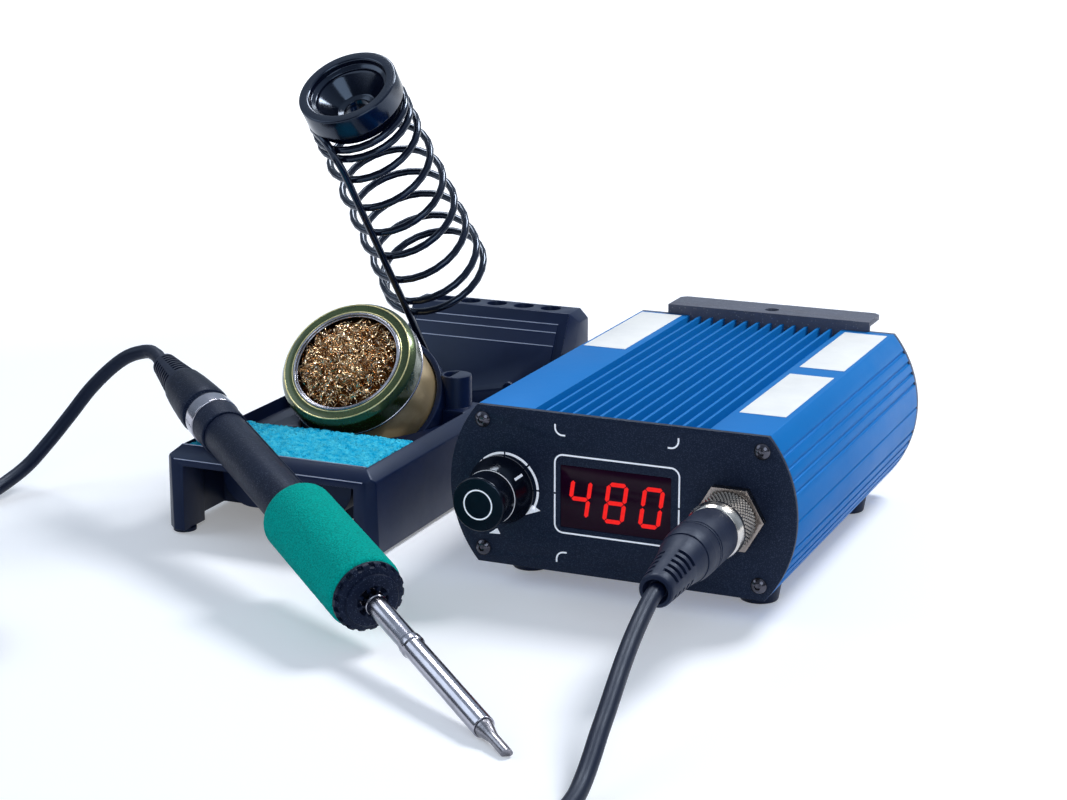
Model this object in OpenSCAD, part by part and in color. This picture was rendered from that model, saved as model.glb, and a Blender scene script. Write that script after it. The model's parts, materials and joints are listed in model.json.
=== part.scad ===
// Soldering iron station: controller with fluted case, stand with sponge tray,
// tilted wool tin, coil holder and tip rack, and a cartridge handset on a cord.
// Millimetres, +Z up, front panel facing -Y, table at z = 0.

/* [Controller] */
// Height of the case above its feet
case_h = 56.2; // [50:0.1:62]
// Half-width of the flat roof
roof_half = 51.8; // [48:0.1:54]
// Radius of the bulging sides
side_r = 43.5; // [40:0.5:48]
// Depth of the extruded case
case_d = 155; // [120:1:180]
// Thickness of the front and rear panels
panel_t = 2; // [1.5:0.1:3]
// Wall thickness of the case
wall = 2.2; // [1.6:0.1:3]
// Height of the rubber feet
foot_h = 8.3; // [6:0.1:12]
// Number of cooling grooves in the roof
groove_count = 13; // [9:1:13]
// Pitch of the cooling grooves
groove_pitch = 4.889; // [4.5:0.001:5]
// Thickness of a cooling fin
fin_t = 1.1; // [0.8:0.1:1.6]
// Depth of a cooling groove
groove_depth = 4; // [2:0.5:5]

/* [Front panel] */
// Width of the display window
window_w = 39.6; // [36:0.1:44]
// Height of the display window
window_h = 21.9; // [18:0.1:24]
// Radius of the knob's front face
knob_r = 9.4; // [8:0.1:10]
// Reach of the knob in front of the panel
knob_reach = 20.4; // [17:0.1:24]
// Push travel of the knob
push_travel = 0.5; // [0.3:0.1:0.6]
// Flat to flat size of the socket nut
socket_nut_af = 21; // [19:0.5:22]
// Outer radius of the knurled coupling ring
ring_r = 9.95; // [9.5:0.05:10.2]

/* [Stand] */
// Width of the stand at its top edge
stand_w = 86.2; // [85:0.1:90]
// Length of the stand
stand_l = 210; // [206:1:214]
// Height of the stand's rim
rim_h = 33.6; // [32:0.1:36]
// Wall thickness of the stand
stand_wall = 2.6; // [2:0.1:3.5]
// Tilt of the wool tin from upright
tin_tilt = 46; // [40:1:50]
// Number of holes in the tip rack
rack_count = 5; // [3:1:5]
// Pitch of the tip rack holes
rack_pitch = 12.8; // [11:0.1:13]
// Radius of the tip rack holes
rack_hole_r = 4.4; // [3.5:0.1:4.6]
// Height of the tip rack above the table
rack_top = 50; // [46:0.5:54]

/* [Iron holder] */
// Wire diameter of the holder
wire_d = 2.9; // [2.6:0.1:3.1]
// Tilt of the holder's axis from upright
holder_tilt = 36.4; // [34:0.2:38]
// Outer radius of the coil at its mouth
coil_top_r = 19.3; // [18.5:0.1:20]
// Outer radius of the coil at its foot
coil_foot_r = 22.7; // [21:0.1:24]
// Length that the coil's taper is spread over
coil_l = 101.5; // [95:0.5:105]

/* [Handset] */
// Radius of the handle tube
tube_r = 8.3; // [7.8:0.1:9]
// Radius of the foam grip
foam_r = 12.8; // [12:0.1:14]
// Radius of the heater cartridge
cartridge_r = 3.5; // [3.2:0.05:3.8]

/* [Cord] */
// Diameter of the cord
cord_d = 5.5; // [4:0.1:6]

/* [Hidden] */
$fn = 72;

// The origin is under the middle of the station; the front panel's foot is measured from here
panel_x = 74.65;
panel_y = -41.59;
slack = 0.05;      // clearance of a seated fit
air = 0.3;         // gap between pieces that only lie side by side
through = 1;       // how far a cutter runs past the face it cuts

// Controller, measured from the middle of the front panel's outer face
side_cx = roof_half - sqrt(side_r * side_r - case_h * case_h / 4);
case_half = side_cx + side_r;
mid_z = foot_h + case_h / 2;
roof_z = foot_h + case_h;
case_y0 = panel_t;
case_y1 = panel_t + case_d;
rear_y = case_y1 + panel_t;
groove_w = groove_pitch - fin_t;
groove_x0 = -groove_count * groove_pitch / 2 + fin_t / 2;
flute_zs = [9.6, 13.6, 17.6, 21.6];     // heights of the side flutes from the middle
flute_w = 1.4;
screw_x = 49.8;
screw_dz = 22.95;
screw_zs = [mid_z - screw_dz, mid_z + screw_dz];
screw_head_r = 2.85;
screw_head_h = 1.7;
screw_shank_r = 1.45;
screw_bore_r = 1.5;
screw_port_r = 3.4;
foot_x = 42.3;
foot_ys = [24.5, 132.5];
window_x = -1.2;
window_z = 35.6;
knob_x = -42.3;
knob_z = 35.6;
socket_x = 39.7;
socket_z = 35.9;
shaft_r = 3;
socket_r = 7.9;
plug_root_y = -46;
plug_end_y = -71;
relief_droop = 6;
flange_x0 = -40.5;
flange_x1 = 42;
flange_z = 68.3;
flange_depth = 17;
flange_hole_r = 2.75;
inlet_x = -24;
inlet_z = 34;
rocker_x = 26;
rocker_z = 34;

// Stand, measured from the same point; it stands left of the controller
stand_x = -138.3;
stand_y0 = 4.8;
stand_y1 = stand_y0 + stand_l;
stand_z0 = 1.5;
draft = 0.6;                // how much further out each wall stands at its foot
corner_c = 4;
rim_c = 5;
rim_drop = 4.6;
pillar_w = 7.8;             // the two legs beside the front arch
pillar_d = 14;
arch_z = 26.4;
tray_half = 38.3;
tray_y0 = stand_y0 + rim_c;
tray_y1 = 90.5;
shelf_z = 28;               // the sponge lies on this shelf, over the water well
well_half = 27;
well_r = 12;
well_z = 9;
well_y0 = stand_y0 + pillar_d + 0.2;
well_y1 = 66;
cross_y = 42;
deck_y1 = 106;
bay_y1 = 190.6;
bay_floor = 5;
post_x = 31.1;
post_y = 99.5;
post_r = 6.1;
post_z = 46;
rack_slope = 28.8;          // lean of the rack's front from upright
rack_y = 199.2;             // front edge of the rack's top
rack_y1 = stand_y1 - 1;
rack_half = 40.3;
pad_x = 39;
pad_ys = [10.5, 186];
pad_r = 4.3;

// Wool tin: centre of its face, and its own axis pointing out of the face
tin_p = [stand_x, 67.3, 55.5];
tin_r = 26.2;
tin_l = 38;
lid_r = 27.4;
lid_face_r = 25.6;
lid_l = 10;
lid_window_r = 20.8;
cup_r = 29.2;
cup_lip = 28;               // how far below the tin's face the cup's lip lies
cup_l = 41.4;

// Coil holder: centre of the funnel's mouth and lean towards the left
coil_p = [stand_x, 72.3, 159.8];
holder_lean = 4.2;
coil_start = -10.3;
coil_pitches = [5.3, 4.3, 11.1, 15, 13, 12.6, 13.3, 12.1, 5.5, 5];
coil_turns = 9.15;
coil_angle = 235;
coil_steps = 20;
stem_tilt = 2;
stem_foot = [-2.5, -26.8, -172];
stem_top = 146;             // length of the stem's straight part
stem_bend = [
    [-2.6, -21.6, -21.2], [-3.4, -21.2, -16.5], [-4.3, -20.3, -13.2], [-5.8, -18.9, -11.3],
    [-7.9, -17, -10.5]
];
boss_r = 5;
boss_l = 19;

// Handset: point of the tip, heading and rise of its axis
iron_p = [17.7, -130.1, 1.1];
iron_heading = 142.11;
iron_rise = 10.5;
tip_bevel = 25;              // slant of the tip's worked face, and its roll
tip_roll = 52;
sleeve_s = 14.7;
cartridge_end_s = 152;
nut_s0 = 92.2;
nut_s1 = 96.6;
foam_s1 = 156;
tube_s1 = 220.9;
ring_s0 = 230.8;
ring_s1 = 237.6;
cap_s1 = 264.5;
relief_s1 = 286;
spine_roll = 142;            // where the relief's slits leave a plain strip
bore_r = 4.6;
nut_web_r = 3.8;

// Cord, as hand-set points measured from the same point as the controller
front_route = [
    [39.7, -68.6, 33.45], [39.75, -72.5, 32.9], [39.8, -77, 31.7], [40.2, -85, 28.9], [41, -94, 25.9],
    [42, -103, 22.6], [43.2, -112, 19.2], [44.4, -121, 15.6], [45.5, -130, 12],
    [46.6, -138, 8.6], [47.5, -146, 5.4], [48.2, -154, 3.4], [48, -163, 2.8],
    [45, -173, 2.8], [38, -182, 2.8], [27, -189, 2.8], [12, -195, 2.8],
    [-4, -200, 2.8], [-22, -206, 2.8], [-42, -212, 2.8], [-62, -218, 2.8],
    [-82, -223, 2.8], [-102, -224, 2.8], [-119, -219, 2.8], [-133, -209, 2.8],
    [-143.5, -195.5, 2.8], [-151.5, -180.5, 2.8], [-157.8, -165, 2.8], [-163.4, -149.5, 2.8],
    [-166.4, -140.5, 2.8]
];
rear_route = [
    [-203, -101.4, 2.8], [-213, -96.5, 2.8], [-222, -88, 2.8], [-235, -74, 2.8], [-247, -57, 2.8],
    [-256, -38, 2.8], [-262, -18, 2.8], [-264, 0, 3.2], [-263, 14, 5.2],
    [-260, 27, 10], [-256, 37, 18], [-250, 44, 28], [-243, 48, 38],
    [-234, 50, 47], [-226, 51, 52.6], [-217.5, 51.2, 55.2], [-211.76, 48.44, 54.98],
    [-208.66, 46.03, 54.25], [-204.39, 42.72, 53.26]
];
coil_c = [-203, -137];
coil_wind_r = 31;
coil_wind_w = 11.2;
coil_wind_h = 11;

module placed() translate([panel_x, panel_y, 0]) children();

// A flat outline in x and z, pushed back along +Y from y0
module run_back(y0, len) translate([0, y0 + len, 0]) rotate([90, 0, 0])
    linear_extrude(len) children();

// Something drawn along +Z, turned to point forwards from a point on the panel
module face_front(x, y, z) translate([x, y, z]) rotate([90, 0, 0]) children();

module face_back(x, y, z) translate([x, y, z]) rotate([-90, 0, 0]) children();

module case_outline(inset = 0) intersection() {
    translate([-case_half, foot_h + inset]) square([2 * case_half, case_h - 2 * inset]);
    union() {
        for (side = [-1, 1])
            translate([side * side_cx, mid_z]) circle(r = side_r - inset, $fn = 128);
        translate([-side_cx, foot_h]) square([2 * side_cx, case_h]);
    }
}

module at_screws() for (x = [-screw_x, screw_x], z = screw_zs) translate([x, z]) children();

// Notches that run along the bulging sides
module side_flutes() for (side = [-1, 1], up = [-1, 1], h = flute_zs) {
    x = side_cx + sqrt(side_r * side_r - h * h);
    translate([side * x, mid_z + up * h]) circle(r = flute_w / 2, $fn = 24);
}

module seam_notch() for (side = [-1, 1])
    translate([side * case_half, mid_z]) rotate(45) square(0.7, center = true);

module case_section() difference() {
    case_outline();
    difference() {
        case_outline(wall);
        at_screws() circle(r = screw_port_r);
        translate([groove_x0 - wall, roof_z - groove_depth - wall])
            square([groove_count * groove_pitch + wall, groove_depth + wall]);
    }
    for (i = [0 : groove_count - 1])
        translate([groove_x0 + i * groove_pitch, roof_z - groove_depth])
            square([groove_w, groove_depth + through]);
    side_flutes();
    seam_notch();
    at_screws() circle(r = screw_bore_r);
}

module half_section(upper) intersection() {
    case_section();
    translate([-case_half, upper ? mid_z : 0]) square([2 * case_half, upper ? case_h : mid_z]);
}

module upper_shell() color("#0a7fd0") placed() run_back(case_y0, case_d) half_section(true);

module lower_shell() color("#0a72c0") placed() run_back(case_y0, case_d) half_section(false);

module front_panel() color("#232a3a") placed() run_back(0, panel_t) difference() {
    case_outline();
    translate([window_x, window_z]) square([window_w, window_h], center = true);
    translate([knob_x, knob_z]) circle(r = 3.6);
    translate([socket_x, socket_z]) circle(r = socket_r + slack);
    at_screws() circle(r = 1.6);
}

inlet_w = 27;
inlet_h = 31;
rocker_w = 19;
rocker_h = 13;

module rear_panel() color("#2a2c33") placed() {
    run_back(case_y1, panel_t) difference() {
        union() {
            case_outline();
            translate([flange_x0, mid_z]) square([flange_x1 - flange_x0, flange_z - mid_z]);
        }
        translate([inlet_x, inlet_z]) square([inlet_w, inlet_h], center = true);
        translate([rocker_x, rocker_z]) square([rocker_w, rocker_h], center = true);
        at_screws() circle(r = 1.6);
        for (i = [-3 : 3]) translate([i * 5, roof_z - 8]) square([2, 5], center = true);
    }
    translate([flange_x0, case_y1, flange_z - panel_t]) difference() {
        cube([flange_x1 - flange_x0, flange_depth, panel_t]);
        translate([(flange_x1 - flange_x0) / 2, 6.6, -through])
            cylinder(r = flange_hole_r, h = panel_t + 2 * through);
        for (x = [0, flange_x1 - flange_x0]) translate([x, flange_depth, panel_t / 2])
            rotate(45) cube([3, 3, 2 * panel_t], center = true);
    }
}

// Button-head screw standing on z = 0, shank down
module button_screw(len) {
    difference() {
        intersection() {
            cylinder(r = screw_head_r, h = screw_head_h);
            translate([0, 0, -1.7]) sphere(r = 3.45);
        }
        translate([0, 0, 0.6]) cylinder(r = 1.16, h = 2, $fn = 6);
    }
    translate([0, 0, -len]) cylinder(r = screw_shank_r, h = len);
}

module front_screws() color("#3a3a40") placed()
    for (x = [-screw_x, screw_x], z = screw_zs) face_front(x, 0, z) button_screw(9);

module rear_screws() color("#3a3a40") placed()
    for (x = [-screw_x, screw_x], z = screw_zs) face_back(x, rear_y, z) button_screw(9);

module case_feet() color("#17181b") placed()
    for (x = [-foot_x, foot_x], y = foot_ys) translate([x, y, 0]) difference() {
        cylinder(r1 = 6.6, r2 = 8, h = foot_h);
        translate([0, 0, -through]) cylinder(r = 2, h = 4.5);
    }

module display_window() color("#2a0610") placed()
    translate([window_x - window_w / 2, 0.25, window_z - window_h / 2])
        cube([window_w, panel_t - 0.25, window_h]);

board_y = 10;

module display_module() color("#1a1a1c") placed() {
    translate([window_x - 19, panel_t, window_z - 10]) cube([38, board_y - panel_t, 20]);
}

module control_board() color("#0f5a3c") placed() difference() {
    translate([-50, board_y, 20]) cube([72, 1.6, 34]);
    for (x = [-46, 18], z = [23.5, 50.5])
        face_front(x, board_y + 3, z) cylinder(r = 1.6, h = 5);
}

module encoder_body() color("#8d9096") placed() difference() {
    union() {
        translate([knob_x - 6.2, panel_t, knob_z - 6.2]) cube([12.4, board_y - panel_t, 12.4]);
        face_front(knob_x, panel_t, knob_z) cylinder(r = 3.5, h = 7);
    }
    face_front(knob_x, panel_t + 4.8, knob_z) cylinder(r = shaft_r + slack, h = 20);
    face_front(knob_x, board_y - 1, knob_z) cylinder(r = 2.1, h = 8);
}

module encoder_nut() color("#b9bcc2") placed() face_front(knob_x, 0, knob_z) difference() {
    cylinder(r = 5.6, h = 2, $fn = 6);
    translate([0, 0, -through]) cylinder(r = 3.5 + slack, h = 4);
}

// Presses the switch dome behind the encoder when the knob is pushed
module switch_plunger() color("#d8d8d4") placed()
    face_front(knob_x, board_y - 1.6, knob_z) cylinder(r = 2, h = 2.35);

module knob_shaft() color("#c2c4c8") placed()
    face_front(knob_x, board_y - 4.05, knob_z) cylinder(r = shaft_r, h = 22.35);

module knob() color("#15171c") placed() face_front(knob_x, 0, knob_z) difference() {
    rotate_extrude() polygon([
        [0, 0.5 + push_travel], [12, 0.5 + push_travel], [12, 2.2], [9.2, 9.6], [8.9, 9.8],
        [8.9, 10.4],
        [knob_r, knob_reach - 0.7], [knob_r - 0.7, knob_reach], [0, knob_reach]
    ]);
    translate([0, 0, -through]) cylinder(r = 7, h = 8);
    translate([0, 0, 0]) cylinder(r = shaft_r, h = 16.45);
}

module power_board() color("#1d6b3d") placed() difference() {
    translate([-46, 30, 15]) cube([92, 112, 1.6]);
    for (x = [-42, 42], y = [34, 138])
        translate([x, y, 12]) cylinder(r = 1.7, h = 8);
}

module transformer() color("#c9b458") placed() {
    translate([-18, 70, 16.6]) cube([34, 30, 6]);
    translate([-14, 66, 22.6]) cube([26, 38, 18]);
}

module capacitors() color("#20242e") placed() {
    for (x = [-36, -22]) translate([x, 50, 16.6]) cylinder(r = 6.2, h = 25);
    for (x = [24, 34]) translate([x, 112, 16.6]) cylinder(r = 4, h = 18);
}

module heatsink() color("#a8abb0") placed() {
    translate([40, 44, 16.6]) cube([3, 54, 30]);
    for (i = [0 : 5]) translate([32, 46 + i * 10, 16.6]) cube([8, 2, 30]);
}

module socket_body() color("#b8a89a") placed() {
    face_front(socket_x, 14, socket_z) difference() {
        cylinder(r = socket_r, h = 24);
        translate([0, 0, 12]) cylinder(r = 6.4, h = 13);
    }
    face_front(socket_x, panel_t + 2.5, socket_z) cylinder(r = 9.5, h = 2.5);
    for (a = [45 : 90 : 315]) translate([socket_x + 3.4 * cos(a), 0, socket_z + 3.4 * sin(a)])
        face_front(0, 3, 0) cylinder(r = 0.6, h = 9.3, $fn = 24);
}

module socket_nut() color("#c4b5a4") placed() face_front(socket_x, 0, socket_z)
    difference() {
        intersection() {
            cylinder(r = socket_nut_af / sqrt(3), h = 3, $fn = 6);
            cylinder(r1 = 15.5, r2 = 11.7, h = 3.2);
        }
        translate([0, 0, -through]) cylinder(r = socket_r + slack, h = 5);
    }

// Coupling ring: threaded over the socket, smooth towards the cord
module coupling_ring() color("#c8c8c8") placed() face_front(socket_x, -3.4, socket_z)
    rotate_extrude(convexity = 4) polygon([
        [socket_r + 0.15, 0], [ring_r - 0.4, 0], [ring_r, 0.4], [ring_r, 11.6],
        [ring_r, 12.2], [8.95, 16], [7.35, 16], [7.35, 9], [socket_r + 0.15, 9]
    ]);

module plug_shell() color("#9fa2a8") placed() face_front(socket_x, -10.6, socket_z)
    rotate_extrude(convexity = 4) polygon([
        [5.6, 0], [7.6, 0], [7.6, 1.4], [7.2, 1.4], [7.2, 12], [5.6, 12]
    ]);

module plug_insert() color("#6b4a2c") placed() face_front(socket_x, -6.6, socket_z) {
    cylinder(r = 5.55, h = 12);
    for (a = [0, 90]) rotate(a) translate([-5.5, -0.8, 4.2]) cube([11, 1.6, 7]);
}

// The sleeve's front slips over the plug's shell, right behind the coupling ring
module plug_sleeve() color("#15171c") placed() face_front(socket_x, -19.8, socket_z)
    rotate_extrude(convexity = 4) polygon([
        [7.25, 0], [9, 0], [9.1, 13.2], [8.7, 13.6], [8.7, 16.4], [9.1, 16.8], [9, 23.4],
        [7.8, 26], [5.2, 26.2], [5.2, 2.85], [7.25, 2.85]
    ]);

// Tapered boot, drooping under the weight of the cord
module plug_relief() color("#17191e") placed()
    face_front(socket_x, plug_root_y, socket_z) rotate([relief_droop, 0, 0]) difference() {
        rotate_extrude(convexity = 4) polygon([
            [0, 0.2], [7.4, 0.2], [7.3, 2.5], [5.5, 24.4], [5.1, 24.8], [0, 24.8]
        ]);
        translate([0, 0, 22.6]) cylinder(r1 = 2.9, r2 = 4.1, h = 2.4);
    }

module mains_inlet() color("#1b1c20") placed() {
    difference() {
        union() {
            translate([inlet_x - 15.2, rear_y, inlet_z - 18]) cube([30.4, 2.5, 36]);
            translate([inlet_x - 13.4, rear_y - 24, inlet_z - 15.4]) cube([26.8, 24, 30.8]);
        }
        translate([inlet_x - 12, rear_y - 16, inlet_z - 14]) cube([24, 19, 16.5]);
        translate([inlet_x - 11.2, rear_y - 21, inlet_z + 5]) cube([22.4, 24, 8.4]);
    }
    for (p = [[-7, -8], [7, -8], [0, -3.5]])
        translate([inlet_x + p[0] - 1, rear_y - 17, inlet_z + p[1] - 2]) cube([2, 15, 4]);
}

module fuse_drawer() color("#232429") placed() difference() {
    translate([inlet_x - 11, rear_y - 18, inlet_z + 5.2]) cube([22, 20.8, 8]);
    translate([inlet_x - 10.5, rear_y - 9.2, inlet_z + 6.4]) cube([21, 6.4, 8]);
    translate([inlet_x - 4, rear_y + 1.4, inlet_z + 11.6]) cube([8, 3, 2]);
}

module fuse() color("#d8d8cc") placed()
    translate([inlet_x - 10, rear_y - 6, inlet_z + 9.6]) rotate([0, 90, 0]) cylinder(r = 2.6, h = 20);

module rocker_frame() color("#17181c") placed() difference() {
    union() {
        translate([rocker_x - 11, rear_y, rocker_z - 8]) cube([22, 1.6, 16]);
        translate([rocker_x - 9.3, rear_y - 14, rocker_z - 6.3]) cube([18.6, 14, 12.6]);
    }
    translate([rocker_x - 7.8, rear_y - 9.5, rocker_z - 4.8]) cube([15.6, 12, 9.6]);
}

// A rocker on its pin: its hub turns about z, its top is two sloping faces
module power_rocker() color("#b01c1c") placed() translate([rocker_x, rear_y - 3, rocker_z])
    rotate([0, 0, -6]) translate([0, 0, -4.5]) linear_extrude(9) polygon([
        [-7, 1.5], [-6.6, 4.6], [0, 3.7], [6.6, 4.6], [7, 1.5], [2.2, -2.6], [-2.2, -2.6]
    ]);

// Bare stickers on the roof
module case_labels() color("#f4f4f2") placed() {
    translate([33.7, 93, roof_z]) cube([16.7, 59.5, 0.15]);
    translate([33.5, 25, roof_z]) cube([16.3, 57, 0.15]);
    translate([-50.8, 93, roof_z]) cube([16.7, 62, 0.15]);
}

// ---- stand ----

// Cross-section of the stand in x and z: drafted sides and a sloping rim
module stand_section(inset) polygon([
    [-stand_w / 2 - draft + inset, stand_z0],
    [-stand_w / 2 + inset, rim_h - rim_drop],
    [-stand_w / 2 + rim_c + inset * 0.7, rim_h - inset],
    [stand_w / 2 - rim_c - inset * 0.7, rim_h - inset],
    [stand_w / 2 - inset, rim_h - rim_drop],
    [stand_w / 2 + draft - inset, stand_z0]
]);

// The same in y and z, sloping at the front only
module stand_side(inset) polygon([
    [stand_y0 - draft + inset, stand_z0],
    [stand_y0 + inset, rim_h - rim_drop],
    [stand_y0 + rim_c + inset * 0.7, rim_h - inset],
    [stand_y1 - inset, rim_h - inset],
    [stand_y1 - inset, stand_z0]
]);

module chamfered_plan(inset) {
    w = stand_w / 2 + draft - inset;
    y0 = stand_y0 - draft + inset;
    y1 = stand_y1 - inset;
    polygon([
        [-w + corner_c, y0], [w - corner_c, y0], [w, y0 + corner_c], [w, y1 - corner_c],
        [w - corner_c, y1], [-w + corner_c, y1], [-w, y1 - corner_c], [-w, y0 + corner_c]
    ]);
}

module stand_block(inset = 0) intersection() {
    translate([stand_x, stand_y1 + 1, 0]) rotate([90, 0, 0])
        linear_extrude(stand_l + 4) stand_section(inset);
    translate([stand_x - stand_w, 0, 0]) rotate([90, 0, 90])
        linear_extrude(2 * stand_w) stand_side(inset);
    translate([stand_x, 0, stand_z0 - 1]) linear_extrude(60) chamfered_plan(inset);
}

// A block across the stand: half-width, from y0 to y1 and from z0 to z1
module across(half, y0, y1, z0, z1) translate([stand_x - half, y0, z0])
    cube([2 * half, y1 - y0, z1 - z0]);

// The water well under the sponge, round at its lower corners
module well(inset) translate([stand_x, well_y1 - inset, 0]) rotate([90, 0, 0])
    linear_extrude(well_y1 - well_y0 - 2 * inset) {
        for (side = [-1, 1]) translate([side * (well_half - well_r), well_z + well_r])
            circle(r = well_r - inset);
        translate([-well_half + well_r, well_z + inset])
            square([2 * (well_half - well_r), shelf_z - well_z]);
        translate([-well_half + inset, well_z + well_r])
            square([2 * (well_half - inset), shelf_z - well_z - well_r + inset]);
    }

// The two posts on the deck, each with a D-shaped hole
module deck_posts() for (side = [-1, 1])
    translate([stand_x + side * post_x, post_y, rim_h - 1]) difference() {
        cylinder(r = post_r, h = post_z - rim_h + 1);
        translate([0, 0, 4]) difference() {
            cylinder(r = post_r - 1.3, h = 20);
            translate([-0.8, -post_r, -through]) cube([post_r * 2, post_r * 2, 22]);
        }
    }

// Something drawn along the stem of the holder, from its foot upwards
module on_stem() on_coil() translate(stem_foot) rotate([-stem_tilt, 0, 0]) children();

module stand_base() color("#1c1f27") placed() difference() {
    union() {
        difference() {
            stand_block();
            difference() {
                translate([0, 0, -stand_z0 - 2]) stand_block(stand_wall);
                across(stand_w, stand_y0 - 5, stand_y0 + pillar_d, 0, 60);
                across(stand_w, cross_y, cross_y + stand_wall, 0, 60);
                across(tray_half + stand_wall, stand_y0, deck_y1, arch_z, 60);
                well(0);
                across(stand_w, deck_y1 - stand_wall, bay_y1 + stand_wall, 0, 60);
            }
            across(tray_half, tray_y0, tray_y1, shelf_z, 60);
            across(tray_half, deck_y1, bay_y1, bay_floor, 60);
            across(stand_w / 2 - pillar_w, stand_y0 - 5, stand_y0 + pillar_d, -1, arch_z);
            intersection() {
                well(2);
                across(stand_w, well_y0, well_y1, 0, 60);
            }
        }
        deck_posts();
        intersection() {
            on_stem() cylinder(r = boss_r, h = boss_l);
            across(tray_half, deck_y1, bay_y1, bay_floor - 1, 60);
        }
    }
    on_tin() translate([0, 0, -cup_l - slack]) cylinder(r = cup_r + slack, h = 100);
    on_stem() translate([0, 0, -slack]) cylinder(r = wire_d / 2 + slack, h = 60);
}

// Side outline of the tip rack: a wedge inside the bay, a block above the rim
module rack_outline(foot) {
    run = tan(rack_slope);
    polygon([
        [rack_y - run * (rack_top - foot), foot], [rack_y, rack_top],
        [rack_y1 - 1.6, rack_top], [rack_y1, rack_top - 4.4],
        [rack_y1, rim_h + slack], [bay_y1 - slack, rim_h + slack], [bay_y1 - slack, foot]
    ]);
}

// Three steps on the front, each a little prouder than the one above
module rack_steps() for (step = [[45.4, 0.5], [42, 1], [36.6, 1.5]])
    translate([stand_x, rack_y, rack_top]) rotate([-rack_slope, 0, 0])
        translate([-33.5, -step[1], (10 - rack_top) / cos(rack_slope)])
            cube([67, step[1] + 0.2, (step[0] - 10) / cos(rack_slope)]);

module tip_rack() color("#1c1f27") placed() difference() {
    union() {
        intersection() {
            translate([stand_x - rack_half, 0, 0]) rotate([90, 0, 90])
                linear_extrude(2 * rack_half) rack_outline(bay_floor + slack);
            translate([stand_x, stand_y1 + 2, 0]) rotate([90, 0, 0]) linear_extrude(60) polygon([
                [-tray_half + 0.4, 0], [-tray_half + 0.4, rim_h + slack],
                [-rack_half, rim_h + slack], [-rack_half, rack_top - 4.4],
                [-rack_half + 3.1, rack_top], [rack_half - 3.1, rack_top],
                [rack_half, rack_top - 4.4], [rack_half, rim_h + slack],
                [tray_half - 0.4, rim_h + slack], [tray_half - 0.4, 0]
            ]);
        }
        rack_steps();
        translate([stand_x + 16.7, 0, 19.4]) rotate([90, 0, 0])
            translate([0, 0, -186]) cylinder(r = 2.4, h = 5.5);
    }
    for (i = [0 : rack_count - 1])
        translate([stand_x + (i - (rack_count - 1) / 2) * rack_pitch, 206.6, rim_h - 5])
            cylinder(r = rack_hole_r, h = 40);
    for (side = [0, 1]) translate([stand_x, rack_y, rack_top]) mirror([side, 0, 0])
        rotate([-rack_slope, 0, 0]) translate([rack_half, 0, -40]) linear_extrude(60)
            polygon([[-3.2, 0], [0, 6.2], [2, 6.2], [2, -2], [-3.2, -2]]);
}

module stand_feet() color("#101113") placed() for (x = [-pad_x, pad_x], y = pad_ys)
    translate([stand_x + x, y, 0]) cylinder(r = pad_r, h = stand_z0);

// Something drawn with z = 0 on the tin's face and +Z out of it
module on_tin() translate(tin_p) rotate([tin_tilt, 0, 0]) children();

module wool_cup() color("#15171c") placed() on_tin() rotate_extrude(convexity = 4) polygon([
    [0, -cup_l], [cup_r, -cup_l], [cup_r, -cup_lip], [cup_r - 2.4, -cup_lip],
    [cup_r - 2.4, -tin_l - 0.5], [0, -tin_l - 0.5]
]);

module tin_body() color("#b9b7b0") placed() on_tin() rotate_extrude(convexity = 4) polygon([
    [0, -tin_l], [tin_r, -tin_l], [tin_r, -1.3], [tin_r - 0.5, -1.3],
    [tin_r - 0.5, -tin_l + 0.5], [0, -tin_l + 0.5]
]);

module tin_lid() color("#3e4a2a") placed() on_tin() rotate_extrude(convexity = 4) polygon([
    [lid_window_r, -1], [lid_window_r, 0], [lid_face_r, 0], [lid_r - 0.5, -1.6],
    [lid_r, -2.4], [lid_r, -lid_l], [tin_r + air, -lid_l], [tin_r + air, -1]
]);

module brass_wool() color("#b08a3c") placed() on_tin() translate([0, 0, -tin_l + 0.8])
    cylinder(r = tin_r - 0.8, h = tin_l - 2.4);

sponge_y1 = 48.8;
sponge_top = 33;

module sponge() color("#3bb8dc") placed()
    across(tray_half - 1, tray_y0 + 0.6, sponge_y1, shelf_z + 0.1, sponge_top);

// ---- coil holder ----

// Something drawn along the holder's axis, mouth at z = 0
module on_coil() translate(coil_p) rotate([holder_tilt, -holder_lean, 0]) children();

// Height of the wire after t turns, adding up the pitches
function coil_z(t, k = 0) = k >= len(coil_pitches) ? 0
    : t <= k ? 0 : -coil_pitches[k] * min(t - k, 1) + coil_z(t, k + 1);
function coil_r(z) = coil_top_r - wire_d / 2 - (coil_foot_r - coil_top_r) * z / coil_l;
coil_path = [for (i = [0 : coil_turns * coil_steps])
    let (t = i / coil_steps, z = coil_start + coil_z(t), a = coil_angle - 360 * t, r = coil_r(z))
        [r * cos(a), r * sin(a), z]];
holder_path = concat(
    [stem_foot, stem_foot + stem_top * [0, sin(stem_tilt), cos(stem_tilt)]], stem_bend, coil_path
);

function unit(v) = v / norm(v);
function tangent(p, i) = unit(p[min(i + 1, len(p) - 1)] - p[max(i - 1, 0)]);
function square_on(u, t) = unit(u - (u * t) * t);

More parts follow.
